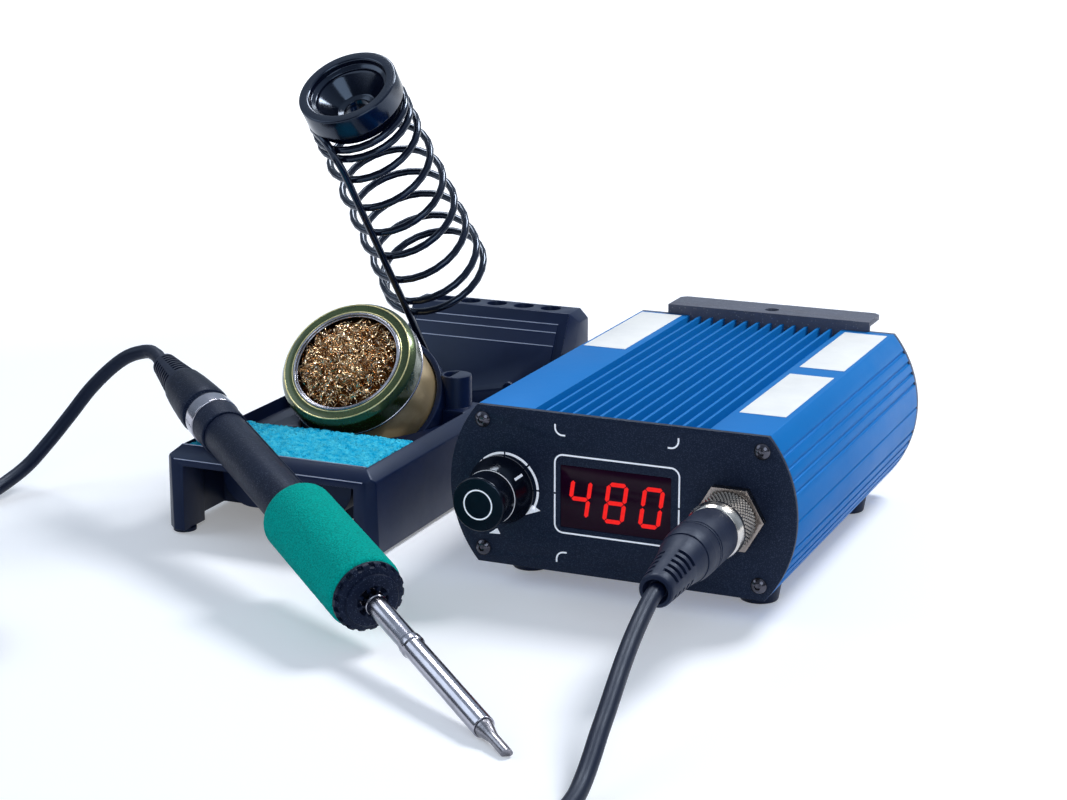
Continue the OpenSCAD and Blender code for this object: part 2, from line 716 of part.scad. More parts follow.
// A round tube swept along points p, its rings carried on without a twist
module sweep(p, r, sides) {
    start = abs(tangent(p, 0)[0]) > 0.9 ? [0, 0, 1] : [1, 0, 0];
    ups = [for (i = 0, u = square_on(start, tangent(p, 0)); i < len(p);
                i = i + 1, u = i < len(p) ? square_on(u, tangent(p, i)) : u) u];
    rings = [for (i = [0 : len(p) - 1])
        let (u = ups[i], v = cross(tangent(p, i), u))
            [for (k = [0 : sides - 1])
                p[i] + r * cos(360 * k / sides) * u + r * sin(360 * k / sides) * v]];
    points = [for (ring = rings, q = ring) q];
    faces = concat(
        [[for (k = [0 : sides - 1]) k]],
        [for (i = [0 : len(p) - 2], k = [0 : sides - 1])
            let (a = i * sides + k, b = i * sides + (k + 1) % sides)
                [a, a + sides, b + sides, b]],
        [[for (k = [sides - 1 : -1 : 0]) (len(p) - 1) * sides + k]]
    );
    polyhedron(points, faces);
}

module holder_spring() color("#0d0e10") placed() on_coil() sweep(holder_path, wire_d / 2, 8);

// Stepped cone in a band; its sleeve sits inside the first turns
module holder_funnel() color("#24262b") placed() on_coil() rotate_extrude(convexity = 4) polygon([
    [15.7, 0], [18.9, 0], [coil_top_r, -0.4], [coil_top_r, -8.8], [16.5, -8.8], [16.5, -14],
    [15.4, -14], [15.4, -8], [8.6, -12.4], [6.4, -16.5], [5.2, -16.5], [5.2, -11.4],
    [7.6, -11], [13, -4.6], [13.4, -4], [13.4, -3.2], [15.2, -2.4], [15.2, -0.5]
]);

// ---- handset ----

// Something drawn along the handset's axis, its point at z = 0
module on_iron() translate(iron_p) rotate([0, 90 - iron_rise, iron_heading]) children();

module tip() color("#c9c5bc") placed() intersection() {
    on_iron() difference() {
        rotate_extrude() polygon([
            [0, -2], [1.5, -2], [1.7, 0.6], [1.7, 8.8], [1.95, 10.2], [2.95, 14.3],
            [2.95, sleeve_s + 2], [0, sleeve_s + 2]
        ]);
        rotate(tip_roll) translate([0, 0, 0.35]) rotate([0, -tip_bevel, 0])
            translate([-5, -5, -10]) cube(10);
    }
    // the underside is worn flat where it meets the table
    translate([-50, -200, 0.05]) cube([150, 150, 40]);
}

module cartridge() color("#c8c8cc") placed() on_iron() difference() {
    rotate_extrude(convexity = 4) polygon([
        [0, sleeve_s], [3.4, sleeve_s], [3.55, sleeve_s + 0.2], [3.55, 61.6], [4, 62.2], [4, 64.6],
        [cartridge_r, 65.2], [cartridge_r, 89.4], [3.72, 89.6], [3.72, 91.8], [cartridge_r, 92],
        [cartridge_r, cartridge_end_s], [0, cartridge_end_s]
    ]);
    translate([0, 0, sleeve_s - through]) cylinder(r = 2.95 + slack, h = 3 + through);
}

module front_nut() color("#15171c") placed() on_iron() difference() {
    rotate_extrude(convexity = 4) polygon([
        [nut_web_r, nut_s0], [8.8, nut_s0], [9.1, nut_s0 + 0.3], [9.2, nut_s0 + 1.3],
        [11.2, nut_s0 + 1.7], [12.1, nut_s0 + 2.6], [12.1, nut_s1], [bore_r, nut_s1],
        [bore_r, nut_s0 + 2.6], [nut_web_r, nut_s0 + 2.6]
    ]);
    for (a = [0 : 20 : 340]) rotate(a) translate([11, -1, nut_s0 - 1])
        cube([3, 2, nut_s1 - nut_s0 + 0.3]);
    // vents round the cartridge
    for (a = [0 : 45 : 315]) rotate(a) translate([0, 0, nut_s0 - 1]) linear_extrude(3)
        polygon([[3.4, -0.7], [5.2, -1.6], [5.5, 0], [5.2, 1.6], [3.4, 0.7]]);
}

module nut_insert() color("#b8b8bc") placed() on_iron() difference() {
    translate([0, 0, nut_s0 + 2.62]) cylinder(r = bore_r - 0.02, h = 6);
    translate([0, 0, nut_s0]) cylinder(r = cartridge_r + slack, h = 16);
}

module foam_grip() color("#149a84") placed() on_iron() rotate_extrude(convexity = 4) polygon([
    [tube_r + slack, nut_s1 + 0.4], [foam_r - 1.2, nut_s1 + 0.4], [foam_r - 0.3, nut_s1 + 1.1],
    [foam_r, nut_s1 + 2.6], [foam_r, foam_s1 - 3.4], [foam_r - 0.8, foam_s1 - 1.4],
    [foam_r - 2.2, foam_s1 - 0.3], [foam_r - 3, foam_s1],
    [tube_r + slack, foam_s1]
]);

module handle_tube() color("#15171c") placed() on_iron() {
    difference() {
        translate([0, 0, nut_s1 + 0.2]) cylinder(r = tube_r, h = tube_s1 - nut_s1 - 0.2);
        translate([0, 0, nut_s1 - 1]) cylinder(r = 6.2, h = tube_s1 - nut_s1 + 2);
    }
    for (a = [-105, -135]) rotate(a) translate([tube_r - 0.3, -0.5, foam_s1 + 1])
        cube([0.8, 1, tube_s1 - foam_s1 - 5]);
}

module contact_block() color("#d0c9b8") placed() on_iron() difference() {
    translate([0, 0, 128]) cylinder(r = 6, h = 40);
    translate([0, 0, 120]) cylinder(r = cartridge_r + slack, h = cartridge_end_s + 0.5 - 120);
}

module handle_collar() color("#1a1c22") placed() on_iron() rotate_extrude(convexity = 4) polygon([
    [6.4, tube_s1], [8.85, tube_s1], [9.1, tube_s1 + 0.8], [9.15, ring_s0], [6.4, ring_s0]
]);

module handle_ring() color("#c8c8cc") placed() on_iron() rotate_extrude(convexity = 4) polygon([
    [6.4, ring_s0], [9.2, ring_s0], [9.5, ring_s0 + 0.3], [9.4, ring_s1 - 0.4],
    [9.2, ring_s1], [6.4, ring_s1]
]);

module handle_cap() color("#15171c") placed() on_iron() rotate_extrude(convexity = 4) polygon([
    [5.2, ring_s1], [8.4, ring_s1], [8.4, ring_s1 + 2.2], [9.35, ring_s1 + 2.7],
    [9.6, ring_s1 + 5], [9.2, ring_s1 + 11.4], [8.45, ring_s1 + 20.4], [7.7, cap_s1 - 0.4],
    [7.3, cap_s1], [5.2, cap_s1]
]);

module handset_relief() color("#17191e") placed() on_iron() difference() {
    rotate_extrude(convexity = 4) polygon([
        [0, ring_s1 + 6], [5.18, ring_s1 + 6], [5.18, cap_s1 + slack], [7.3, cap_s1 + 0.3],
        [7.1, cap_s1 + 2], [4.7, relief_s1], [0, relief_s1]
    ]);
    for (i = [0 : 5]) translate([0, 0, cap_s1 + 2.2 + i * 3]) rotate(spine_roll) difference() {
        cylinder(r = 9, h = 1.3);
        cylinder(r = 5.3 - i * 0.38, h = 1.3);
        translate([-10, -1.3, -1]) cube([20, 2.6, 4]);
    }
}

// ---- cord ----

module cord_front() color("#17191e") placed() sweep(front_route, cord_d / 2, 10);

module cord_rear() color("#17191e") placed() sweep(rear_route, cord_d / 2, 10);

module cord_coil() color("#17191e") placed() translate([coil_c[0], coil_c[1], 0])
    rotate_extrude() translate([coil_wind_r - coil_wind_w / 2, 0])
        square([coil_wind_w, coil_wind_h]);

upper_shell();
lower_shell();
front_panel();
rear_panel();
front_screws();
rear_screws();
case_feet();
display_window();
display_module();
control_board();
encoder_body();
encoder_nut();
switch_plunger();
knob_shaft();
knob();
power_board();
transformer();
capacitors();
heatsink();
socket_body();
socket_nut();
coupling_ring();
plug_shell();
plug_sleeve();
plug_relief();
plug_insert();
mains_inlet();
fuse_drawer();
fuse();
rocker_frame();
power_rocker();
case_labels();
stand_base();
tip_rack();
wool_cup();
stand_feet();
tin_body();
tin_lid();
brass_wool();
sponge();
holder_spring();
holder_funnel();
tip();
cartridge();
front_nut();
nut_insert();
foam_grip();
handle_tube();
contact_block();
handle_collar();
handle_ring();
handle_cap();
handset_relief();
cord_front();
cord_coil();
cord_rear();
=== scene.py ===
import json
import math
from functools import partial

import bmesh
import bpy
from mathutils import Matrix, Vector, noise

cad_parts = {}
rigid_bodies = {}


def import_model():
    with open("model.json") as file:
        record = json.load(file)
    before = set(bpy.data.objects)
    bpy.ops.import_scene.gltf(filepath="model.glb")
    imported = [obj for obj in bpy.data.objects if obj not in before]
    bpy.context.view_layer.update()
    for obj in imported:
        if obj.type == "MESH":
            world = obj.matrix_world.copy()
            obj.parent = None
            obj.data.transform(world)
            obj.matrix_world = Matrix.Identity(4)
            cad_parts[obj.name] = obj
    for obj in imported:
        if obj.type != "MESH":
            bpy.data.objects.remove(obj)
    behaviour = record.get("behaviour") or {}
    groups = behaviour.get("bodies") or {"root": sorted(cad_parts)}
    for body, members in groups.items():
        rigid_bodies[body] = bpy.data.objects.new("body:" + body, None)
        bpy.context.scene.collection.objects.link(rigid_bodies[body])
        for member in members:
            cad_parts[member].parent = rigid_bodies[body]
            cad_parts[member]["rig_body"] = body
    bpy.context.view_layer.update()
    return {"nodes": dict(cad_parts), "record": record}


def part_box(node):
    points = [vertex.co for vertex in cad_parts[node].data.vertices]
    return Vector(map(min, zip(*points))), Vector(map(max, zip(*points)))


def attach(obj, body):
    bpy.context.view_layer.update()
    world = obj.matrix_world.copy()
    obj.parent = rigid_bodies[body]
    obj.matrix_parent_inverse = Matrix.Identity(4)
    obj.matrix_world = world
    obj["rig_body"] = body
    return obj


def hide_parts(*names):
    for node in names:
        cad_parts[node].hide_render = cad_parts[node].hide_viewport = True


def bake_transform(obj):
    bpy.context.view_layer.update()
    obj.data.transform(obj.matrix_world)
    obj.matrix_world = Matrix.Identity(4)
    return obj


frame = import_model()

scene = bpy.context.scene
scene.view_settings.view_transform = "Standard"

panelLow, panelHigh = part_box("front_panel")
originX = (panelLow.x + panelHigh.x) / 2      # all is placed from the foot of the front panel
originY = panelLow.y
mm = 0.001
fullTurn = 2 * math.pi


def at(x, y, z):
    return Vector((originX + x * mm, originY + y * mm, z * mm))


def frameAt(point, *turns):
    # a frame in millimetres
    matrix = Matrix.Translation(at(*point))
    for angle, axis in turns:
        matrix = matrix @ Matrix.Rotation(math.radians(angle), 4, axis)
    return matrix @ Matrix.Scale(mm, 4)


def plugAt(y, *turns):
    return frameAt((39.7, y, 35.9), (90, "X"), *turns)


standX = -138.3
knobMiddle = (-42.3, 0, 35.6)
knobFrame = frameAt(knobMiddle, (90, "X"))
ringFrame = plugAt(-3.4)
ironFrame = frameAt((17.7, -130.1, 1.1), (142.11, "Z"), (79.5, "Y"))
tinFrame = frameAt((standX, 67.3, 55.5), (46, "X"))
coilFrame = frameAt((standX, 72.3, 159.8), (-4.2, "Y"), (36.4, "X"))


# ---- nodes ----

def fill(tree, node, inputs):
    # links the values that are sockets and sets the others
    for title, value in dict(inputs).items():
        if isinstance(value, bpy.types.NodeSocket):
            tree.links.new(value, node.inputs[title])
        else:
            node.inputs[title].default_value = value
    return node


def addNode(tree, kind, inputs=(), **settings):
    # a shader node's kind comes without its first words
    node = tree.nodes.new(kind if "Node" in kind else "ShaderNode" + kind)
    for title, value in settings.items():
        setattr(node, title, value)
    return fill(tree, node, inputs)


def mathNode(tree, operation, *values):
    return addNode(tree, "Math", enumerate(values), operation=operation).outputs[0]


def vectorNode(tree, operation, *values):
    return addNode(tree, "VectorMath", enumerate(values), operation=operation).outputs


def rangeNode(tree, value, *limits):
    # limits: from low, from high, to low, to high
    given = zip(("From Min", "From Max", "To Min", "To Max"), limits)
    return addNode(tree, "MapRange", {"Value": value, **dict(given)}).outputs[0]


def mixNode(tree, factor, a, b, kind="RGBA"):
    return addNode(tree, "Mix", {"Factor": factor, "A": a, "B": b},
                   data_type=kind).outputs["Result"]


def noiseNode(tree, vector, scale, detail, rough):
    return addNode(tree, "TexNoise", {"Vector": vector, "Scale": scale, "Detail": detail,
                                      "Roughness": rough}).outputs["Fac"]


def placeNode(tree, kind="Object"):
    return addNode(tree, "TexCoord").outputs[kind]


def newGroup(name, build, inputs, output, kind="Float", treeKind="ShaderNodeTree"):
    # inputs: names with their first values, which give their types too
    group = bpy.data.node_groups.new(name, treeKind)
    for title, value in inputs.items():
        word = {int: "Int", float: "Float", tuple: "Color"}.get(type(value), "Vector")
        word = "NodeSocket" + word
        socket = group.interface.new_socket(title, in_out="INPUT", socket_type=word)
        if value is not None:
            socket.default_value = value
    group.interface.new_socket(output, in_out="OUTPUT", socket_type="NodeSocket" + kind)
    start = addNode(group, "NodeGroupInput").outputs
    made = build(group, start, partial(mathNode, group))
    addNode(group, "NodeGroupOutput", {output: made})
    return group


def newObject(name, data):
    made = bpy.data.objects.new(name, data)
    scene.collection.objects.link(made)
    return made


# ---- camera, light and floor ----

cameraSet = {"place": (258.476, -664.389, 261.926), "tilt": 75.023, "turn": 23.536, "lens": 75.30,
             "sensor": 36, "near": 0.01}
camera = bpy.data.cameras.new("camera")
camera.lens = cameraSet["lens"]
camera.sensor_width = cameraSet["sensor"]
camera.clip_start = cameraSet["near"]
cameraObject = newObject("camera", camera)
cameraObject.location = at(*cameraSet["place"])
cameraObject.rotation_euler = (math.radians(cameraSet["tilt"]), 0, math.radians(cameraSet["turn"]))
scene.camera = cameraObject

white = (1, 1, 1, 1)
coolLamp = (0.80, 0.90, 1.0)
lampAim = Vector((0, 0, 0.05))
lampSet = {
    "keyTop": {"place": (0.55, 0.75, 1.25), "size": 0.5, "power": 18},
    "fillLeft": {"place": (-1.1, -0.5, 0.9), "size": 1.0, "power": 4.5, "color": coolLamp},
    "fillFront": {"place": (0.75, -1.1, 0.75), "size": 0.9, "power": 6, "color": coolLamp},
    "shineTop": {"place": (-0.39, 0.50, 1.23), "size": 0.5, "power": 10, "shineOnly": True},
}
for name, lamp in lampSet.items():
    light = bpy.data.lights.new(name, "AREA")
    light.shape = "DISK"
    light.size = lamp["size"]
    light.energy = lamp["power"]
    light.color = lamp.get("color", white[:3])
    lightObject = newObject(name, light)
    lightObject.location = lamp["place"]
    lightObject.visible_diffuse = not lamp.get("shineOnly", False)
    aim = lampAim - Vector(lamp["place"])
    lightObject.rotation_euler = aim.to_track_quat("-Z", "Y").to_euler()

worldSet = {"light": 0.32, "bright": (0, 0.6, 0.8), "tint": (0.70, 0.83, 1.0, 1),
            "room": (-0.2, 0.8, 0.12, 0.68)}      # from and to, dark and mirror
world = bpy.data.worlds.new("world")
scene.world = world
world.use_nodes = True
tree = world.node_tree
rays = addNode(tree, "LightPath").outputs
seen = mathNode(tree, "MAXIMUM", rays["Is Camera Ray"], rays["Is Transmission Ray"])
even = rangeNode(tree, seen, 0, 1, worldSet["light"], 1)
# what shines see: a pale room behind and above, a dark one at the front
toward = vectorNode(tree, "DOT_PRODUCT", placeNode(tree, "Generated"), worldSet["bright"])
room = rangeNode(tree, toward["Value"], *worldSet["room"])
fill(tree, tree.nodes["Background"], {
    "Strength": mixNode(tree, rays["Is Glossy Ray"], even, room, "FLOAT"),
    "Color": mixNode(tree, seen, worldSet["tint"], white)})
print("camera and light done")


# ---- materials ----

def hexColor(code):
    def linear(v):
        return v / 12.92 if v <= 0.04045 else ((v + 0.055) / 1.055) ** 2.4
    return tuple(linear(int(code[i:i + 2], 16) / 255) for i in (0, 2, 4)) + (1,)


def grain(group, start, calc):
    # fine skin of a moulded, painted or brushed surface, as a height
    fine = noiseNode(group, start["Vector"], start["Scale"], 3, 0.6)
    broad = noiseNode(group, start["Vector"], calc("MULTIPLY", start["Scale"], 0.17), 2, 0.5)
    return calc("ADD", fine, calc("MULTIPLY", broad, start["Coarse"]))


def tone(group, start, calc):
    # slow change of colour over a surface
    cloud = noiseNode(group, start["Vector"], start["Scale"], 4, 0.6)
    factor = calc("MULTIPLY", rangeNode(group, cloud, 0.35, 0.68), start["Amount"])
    return mixNode(group, factor, start["Base"], start["Shade"])


def rub(group, start, calc):
    # handling marks, as roughness
    cloud = noiseNode(group, start["Vector"], start["Scale"], 5, 0.65)
    return rangeNode(group, cloud, 0.3, 0.7, start["Low"], start["High"])


def sparkle(group, start, calc):
    # scattered flakes and pores, and painted glints on the brass wool, as a mask
    cells = addNode(group, "TexVoronoi", {k: start[k] for k in ("Vector", "Scale")}).outputs
    shade = addNode(group, "SeparateColor", {0: cells["Color"]}).outputs
    near = calc("LESS_THAN", cells["Distance"], start["Cut"])
    return calc("MULTIPLY", calc("MULTIPLY", near, calc("GREATER_THAN", shade[0], 0.62)),
                shade[1])


groups = {
    "grain": newGroup("grain", grain, {"Vector": None, "Scale": 900.0, "Coarse": 0.4}, "Height"),
    "tone": newGroup("tone", tone, {"Vector": None, "Scale": 25.0, "Base": (0.5, 0.5, 0.5, 1),
                                    "Shade": (0.4, 0.4, 0.4, 1), "Amount": 0.5}, "Color", "Color"),
    "rub": newGroup("rub", rub, {"Vector": None, "Scale": 60.0, "Low": 0.3, "High": 0.45},
                    "Roughness"),
    "sparkle": newGroup("sparkle", sparkle, {"Vector": None, "Scale": 1500.0, "Cut": 0.25},
                        "Mask"),
}
looks = {}


def useGroup(tree, name, vector, **values):
    return addNode(tree, "Group", {"Vector": vector, **values},
                   node_tree=groups[name]).outputs[0]


def newLook(slot):
    first, *others = slot.split("_")
    material = bpy.data.materials.new(first + "".join(word.title() for word in others))
    material.use_nodes = True
    looks[slot] = material
    return material.node_tree, material.node_tree.nodes["Principled BSDF"]


def addLook(slot, color, shade, amount, toneScale, low, high, rubScale, grain, bump, metal=0,
            coat=0, coatRough=0.1, coarse=0.4, depth=0.2, specular=0.5, cool=0,
            stretch=(1, 1, 1), flake=None):
    # low, high: roughness; depth in mm; cool: a specular level, tinted
    # flake: scale, size, amount and colour of scattered flecks, which on the brass wool are
    # painted glints
    tree, shader = newLook(slot)
    vector = addNode(tree, "Mapping", {"Vector": placeNode(tree), "Scale": stretch}).outputs[0]
    base = useGroup(tree, "tone", vector, Scale=toneScale, Base=hexColor(color),
                    Shade=hexColor(shade), Amount=amount)
    if flake:
        spots = useGroup(tree, "sparkle", vector, Scale=flake[0], Cut=flake[1])
        factor = mathNode(tree, "MULTIPLY", spots, flake[2])
        base = mixNode(tree, factor, base, hexColor(flake[3]))
    skin = useGroup(tree, "grain", vector, Scale=grain, Coarse=coarse)
    relief = addNode(tree, "Bump", {"Strength": bump, "Distance": depth * mm, "Height": skin})
    fill(tree, shader, {
        "Base Color": base, "Normal": relief.outputs[0], "Metallic": metal, "Coat Weight": coat,
        "Roughness": useGroup(tree, "rub", vector, Scale=rubScale, Low=low, High=high),
        "Coat Roughness": coatRough, "Specular IOR Level": cool or specular,
        "Specular Tint": coolShine if cool else white})


coolShine = (0.60, 0.75, 1.0, 1)

# the case and its panels
addLook("case_blue", "0A72BC", "0764AA", 0.35, 12, 0.44, 0.54, 40, 2400, 0.1, metal=0.12,
        coarse=0.2, depth=0.08, cool=0.12)
addLook("panel_black", "0B152A", "081022", 0.5, 60, 0.45, 0.58, 300, 2800, 0.22, coarse=0.5,
        depth=0.08, cool=0.3, flake=(3400, 0.5, 0.13, "7C88A8"))
addLook("panel_grey", "474C5E", "383C4C", 0.6, 60, 0.45, 0.6, 300, 2200, 0.5, coarse=0.6,
        depth=0.12, flake=(1300, 0.4, 0.35, "8C8F98"))
addLook("screw_black", "56565F", "42414A", 0.6, 300, 0.14, 0.26, 500, 3000, 0.1, metal=0.9)
addLook("display_glass", "1E041A", "26061E", 0.5, 40, 0.08, 0.14, 200, 1200, 0.02, specular=0.1)
addLook("label_white", "F1F1EF", "E2E3E4", 0.6, 70, 0.42, 0.55, 150, 1900, 0.1)
addLook("print_white", "E9EBF2", "D6DAE6", 0.6, 300, 0.45, 0.6, 300, 2600, 0.1)
addLook("knob_face", "0A1420", "101C2C", 0.5, 50, 0.26, 0.32, 90, 1500, 0.02, metal=0.6, cool=0.4)

# what is inside the case
addLook("plastic_dark", "1A1B1F", "222329", 0.6, 60, 0.4, 0.52, 120, 2000, 0.2, depth=0.1)
addLook("plastic_white", "D8D6CC", "C8C5BA", 0.5, 60, 0.35, 0.45, 100, 1600, 0.1)
addLook("plastic_brown", "6B4A2C", "4F341D", 0.6, 60, 0.35, 0.45, 120, 1500, 0.1)
addLook("board_green", "0F5A3C", "0A4630", 0.8, 90, 0.3, 0.4, 120, 1500, 0.1)
addLook("winding_yellow", "C9B458", "A58F3A", 0.8, 120, 0.3, 0.45, 200, 1500, 0.2)
addLook("fuse_glass", "D8D8CC", "C8C8BC", 0.5, 60, 0.05, 0.1, 100, 1500, 0.03)

# rubber and plastic
addLook("rubber_black", "0B1228", "121B34", 0.6, 80, 0.42, 0.58, 160, 1800, 0.22, coarse=0.6,
        depth=0.15, cool=0.3)
addLook("cord_black", "070D20", "0C142C", 0.6, 60, 0.4, 0.52, 120, 1900, 0.2, coarse=0.6,
        depth=0.1, cool=0.3)
addLook("plastic_gloss", "060A14", "0A1020", 0.5, 50, 0.12, 0.2, 90, 1500, 0.03, cool=0.3)
addLook("plastic_black", "081024", "0E1830", 0.5, 50, 0.44, 0.54, 90, 1100, 0.4, coarse=0.6,
        cool=0.16, flake=(2400, 0.45, 0.14, "8E9AB8"))
addLook("plastic_red", "A3181A", "861012", 0.5, 60, 0.2, 0.3, 120, 1500, 0.05, coat=0.4)
addLook("foam_teal", "00B2A6", "017C72", 0.85, 1900, 0.85, 0.98, 300, 1500, 0.9, coarse=0.5,
        depth=0.6, specular=0.05, flake=(1900, 0.38, 0.35, "10D4C4"))

# bare metal
addLook("steel", "B5B7BA", "8F9196", 0.5, 60, 0.25, 0.36, 200, 2600, 0.08, metal=1)
addLook("steel_bright", "ACABB4", "8D8C96", 0.6, 140, 0.12, 0.22, 260, 2600, 0.06, metal=1)
addLook("aluminium", "B9BBBE", "9FA1A5", 0.5, 60, 0.3, 0.42, 300, 2600, 0.1, metal=1,
        stretch=(1, 1, 0.2))
addLook("nickel", "B0A79E", "8C847C", 0.7, 220, 0.2, 0.34, 400, 2600, 0.12, metal=1)
addLook("nickel_dark", "A89E98", "7C736E", 0.8, 160, 0.18, 0.3, 300, 2600, 0.06, metal=1)
addLook("chrome", "CFCAC4", "A9A39C", 0.6, 240, 0.12, 0.24, 400, 2600, 0.06, metal=1)
addLook("tip_silver", "8F8E95", "66656C", 0.6, 260, 0.22, 0.34, 500, 2600, 0.1, metal=1)

# the stand and what it holds
addLook("stand_black", "091430", "0F1D3E", 0.6, 30, 0.34, 0.44, 70, 2300, 0.14, coarse=0.5,
        depth=0.1, cool=0.3)
addLook("holder_black", "050918", "0A1024", 0.5, 60, 0.12, 0.2, 120, 1500, 0.04, cool=0.6)
# light grey for thin strips along edges: a painted highlight
addLook("edge_shine", "AEB6CC", "8B93AC", 0.6, 90, 0.3, 0.4, 120, 1900, 0.05, metal=0.3)
addLook("tinplate", "D6BE92", "A88A58", 0.7, 35, 0.34, 0.44, 140, 1700, 0.08, metal=0.6)
addLook("lid_olive", "3A4A20", "2A3A18", 0.8, 60, 0.22, 0.34, 220, 2400, 0.16, metal=0.6, coat=0.6,
        coatRough=0.08, coarse=0.3, depth=0.1)
addLook("gold_line", "E9DFAA", "CDBB74", 0.7, 400, 0.25, 0.4, 300, 2400, 0.06, metal=0.6)
# the near-white flecks on the brass wool are painted glints
addLook("brass_wool", "FFE4B8", "A86A26", 1, 330, 0.12, 0.28, 900, 2600, 0.1, metal=1,
        flake=(700, 0.5, 0.9, "FFF6E6"))
# a dark brown for the bed under the wool's curls: painted shade in the gaps between the wires
addLook("wool_deep", "5A3212", "1C0E04", 1, 260, 0.25, 0.45, 700, 2000, 0.6, metal=1, depth=0.6)
addLook("sponge_blue", "04B0E2", "58DAF2", 1, 360, 0.8, 0.95, 300, 900, 1, coarse=1.2, depth=1.4,
        specular=0.02, flake=(800, 0.35, 0.6, "0A7CAA"))


def changeLook(slot, inputs):
    tree = looks[slot].node_tree
    fill(tree, tree.nodes["Principled BSDF"], inputs)


changeLook("fuse_glass", {"Transmission Weight": 0.7})
# the print is given a faint glow: painted light that keeps it white in the front panel's shade
changeLook("print_white", {"Emission Color": (0.9, 0.93, 1.0, 1), "Emission Strength": 0.28})

# the knob's face is turned, so its shine runs out from the middle in streaks
tree = looks["knob_face"].node_tree
outward = vectorNode(tree, "SUBTRACT", placeNode(tree), at(*knobMiddle))
across = vectorNode(tree, "CROSS_PRODUCT", outward[0], (0, 1, 0))
changeLook("knob_face", {"Anisotropic": 0.85, "Tangent": across[0]})

# the display's digits give light
digitColor = hexColor("FF2A2A")
digitShade = tuple(c * 0.8 for c in digitColor[:3]) + (1,)
tree, shader = newLook("display_digit")
cloudy = useGroup(tree, "tone", placeNode(tree), Scale=900, Base=digitColor, Shade=digitShade,
                  Amount=0.6)
fill(tree, shader, {"Emission Color": cloudy, "Emission Strength": 0.95, "Roughness": 0.4,
                    "Base Color": (0.02, 0, 0, 1), "Specular IOR Level": 0})

# the floor takes shadows, and fades out to white away from the middle
floorSet = {"color": (0.80, 0.82, 0.87, 1), "half": 9, "drop": 0.0001,
            "lift": (0.35, 1.1, 0.25, 1)}      # from and to in metres, near and far
tree, shader = newLook("floor_pale")
tree.nodes.remove(shader)
rays = addNode(tree, "LightPath").outputs
seen = mathNode(tree, "MAXIMUM", rays["Is Camera Ray"], rays["Is Glossy Ray"])
seen = mathNode(tree, "MAXIMUM", seen, rays["Is Transmission Ray"])
away = vectorNode(tree, "LENGTH", placeNode(tree))
rise = rangeNode(tree, away["Value"], *floorSet["lift"])
lift = addNode(tree, "Emission", {"Strength": mathNode(tree, "MULTIPLY", seen, rise)})
diffuse = addNode(tree, "BsdfDiffuse", {"Color": floorSet["color"]})
both = addNode(tree, "AddShader", {0: diffuse.outputs[0], 1: lift.outputs[0]})
fill(tree, tree.nodes["Material Output"], {"Surface": both.outputs[0]})
half = floorSet["half"]
floorMesh = bpy.data.meshes.new("floor")
floorMesh.from_pydata([(-half, -half, 0), (half, -half, 0), (half, half, 0), (-half, half, 0)],
                      [], [(0, 1, 2, 3)])
floorMesh.materials.append(looks["floor_pale"])
floor = newObject("floor", floorMesh)
floor.location.z = -floorSet["drop"]
print("materials done")


# ---- making pieces ----

slotOf = {s["node"]: s["material_slot"] for s in frame["record"]["subparts"]}


def finishPiece(mesh, name, node, look=None, covers=(), sharp=38, rides=True):
    # a piece in the slot of a CAD node, riding with its body, in place of the nodes it covers
    piece = newObject(name, mesh)
    mesh.materials.clear()
    mesh.materials.append(looks[look or slotOf[node]])
    for face in mesh.polygons:
        face.use_smooth = True
        face.material_index = 0
    if sharp:
        mesh.set_sharp_from_angle(angle=math.radians(sharp))
    if rides:
        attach(piece, frame["nodes"][node]["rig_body"])
    if covers:
        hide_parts(*covers)
    return piece


def addShape(name, node, shape, matrix=None, look=None, covers=(), sharp=38, rides=True):
    # shape: points and faces; the faces are turned outwards
    points, faces = shape
    mesh = bpy.data.meshes.new(name)
    mesh.from_pydata([tuple(p) for p in points], [], faces)
    if matrix is not None:
        mesh.transform(matrix)
    turner = bmesh.new()
    turner.from_mesh(mesh)
    bmesh.ops.recalc_face_normals(turner, faces=turner.faces)
    turner.to_mesh(mesh)
    turner.free()
    mesh.update()
    return finishPiece(mesh, name, node, look, covers, sharp, rides)


def lathe(profile, sides=96, bend=None):
    # profile: (r, z) points round a closed section; points on the axis close the ends
    points, rings = [], []
    for r, z in profile:
        if r < 1e-6:
            rings.append([len(points)] * sides)
            points.append((0, 0, z))
            continue
        rings.append(range(len(points), len(points) + sides))
        for k in range(sides):
            a = fullTurn * k / sides
            bent = r + (bend(a, z, r) if bend else 0)
            points.append((bent * math.cos(a), bent * math.sin(a), z))
    faces = []
    for low, high in zip(rings, rings[1:] + rings[:1]):
        for k in range(sides):
            n = (k + 1) % sides
            face = tuple(dict.fromkeys((low[k], low[n], high[n], high[k])))
            if len(face) > 2:
                faces.append(face)
    return points, faces


def directions(path):
    return [(Vector(after) - Vector(before)).normalized()
            for before, after in zip(path[:1] + path[:-1], path[1:] + path[-1:])]


def tube(path, radius, sides):
    # rings carried along the path without a twist, closed at both ends
    points, faces = [], []
    side = Vector((0, 0, 1)) if abs(directions(path)[0].x) > 0.9 else Vector((1, 0, 0))
    for p, t in zip(path, directions(path)):
        side = (side - t * side.dot(t)).normalized()
        up = t.cross(side)
        for k in range(sides):
            a = fullTurn * k / sides
            points.append(p + side * (radius * math.cos(a)) + up * (radius * math.sin(a)))
    last = (len(path) - 1) * sides
    for a in range(0, last, sides):
        for k in range(sides):
            n, b = (k + 1) % sides, a + sides
            faces.append((a + k, a + n, b + n, b + k))
    faces += [tuple(reversed(range(sides))), tuple(range(last, last + sides))]
    return points, faces


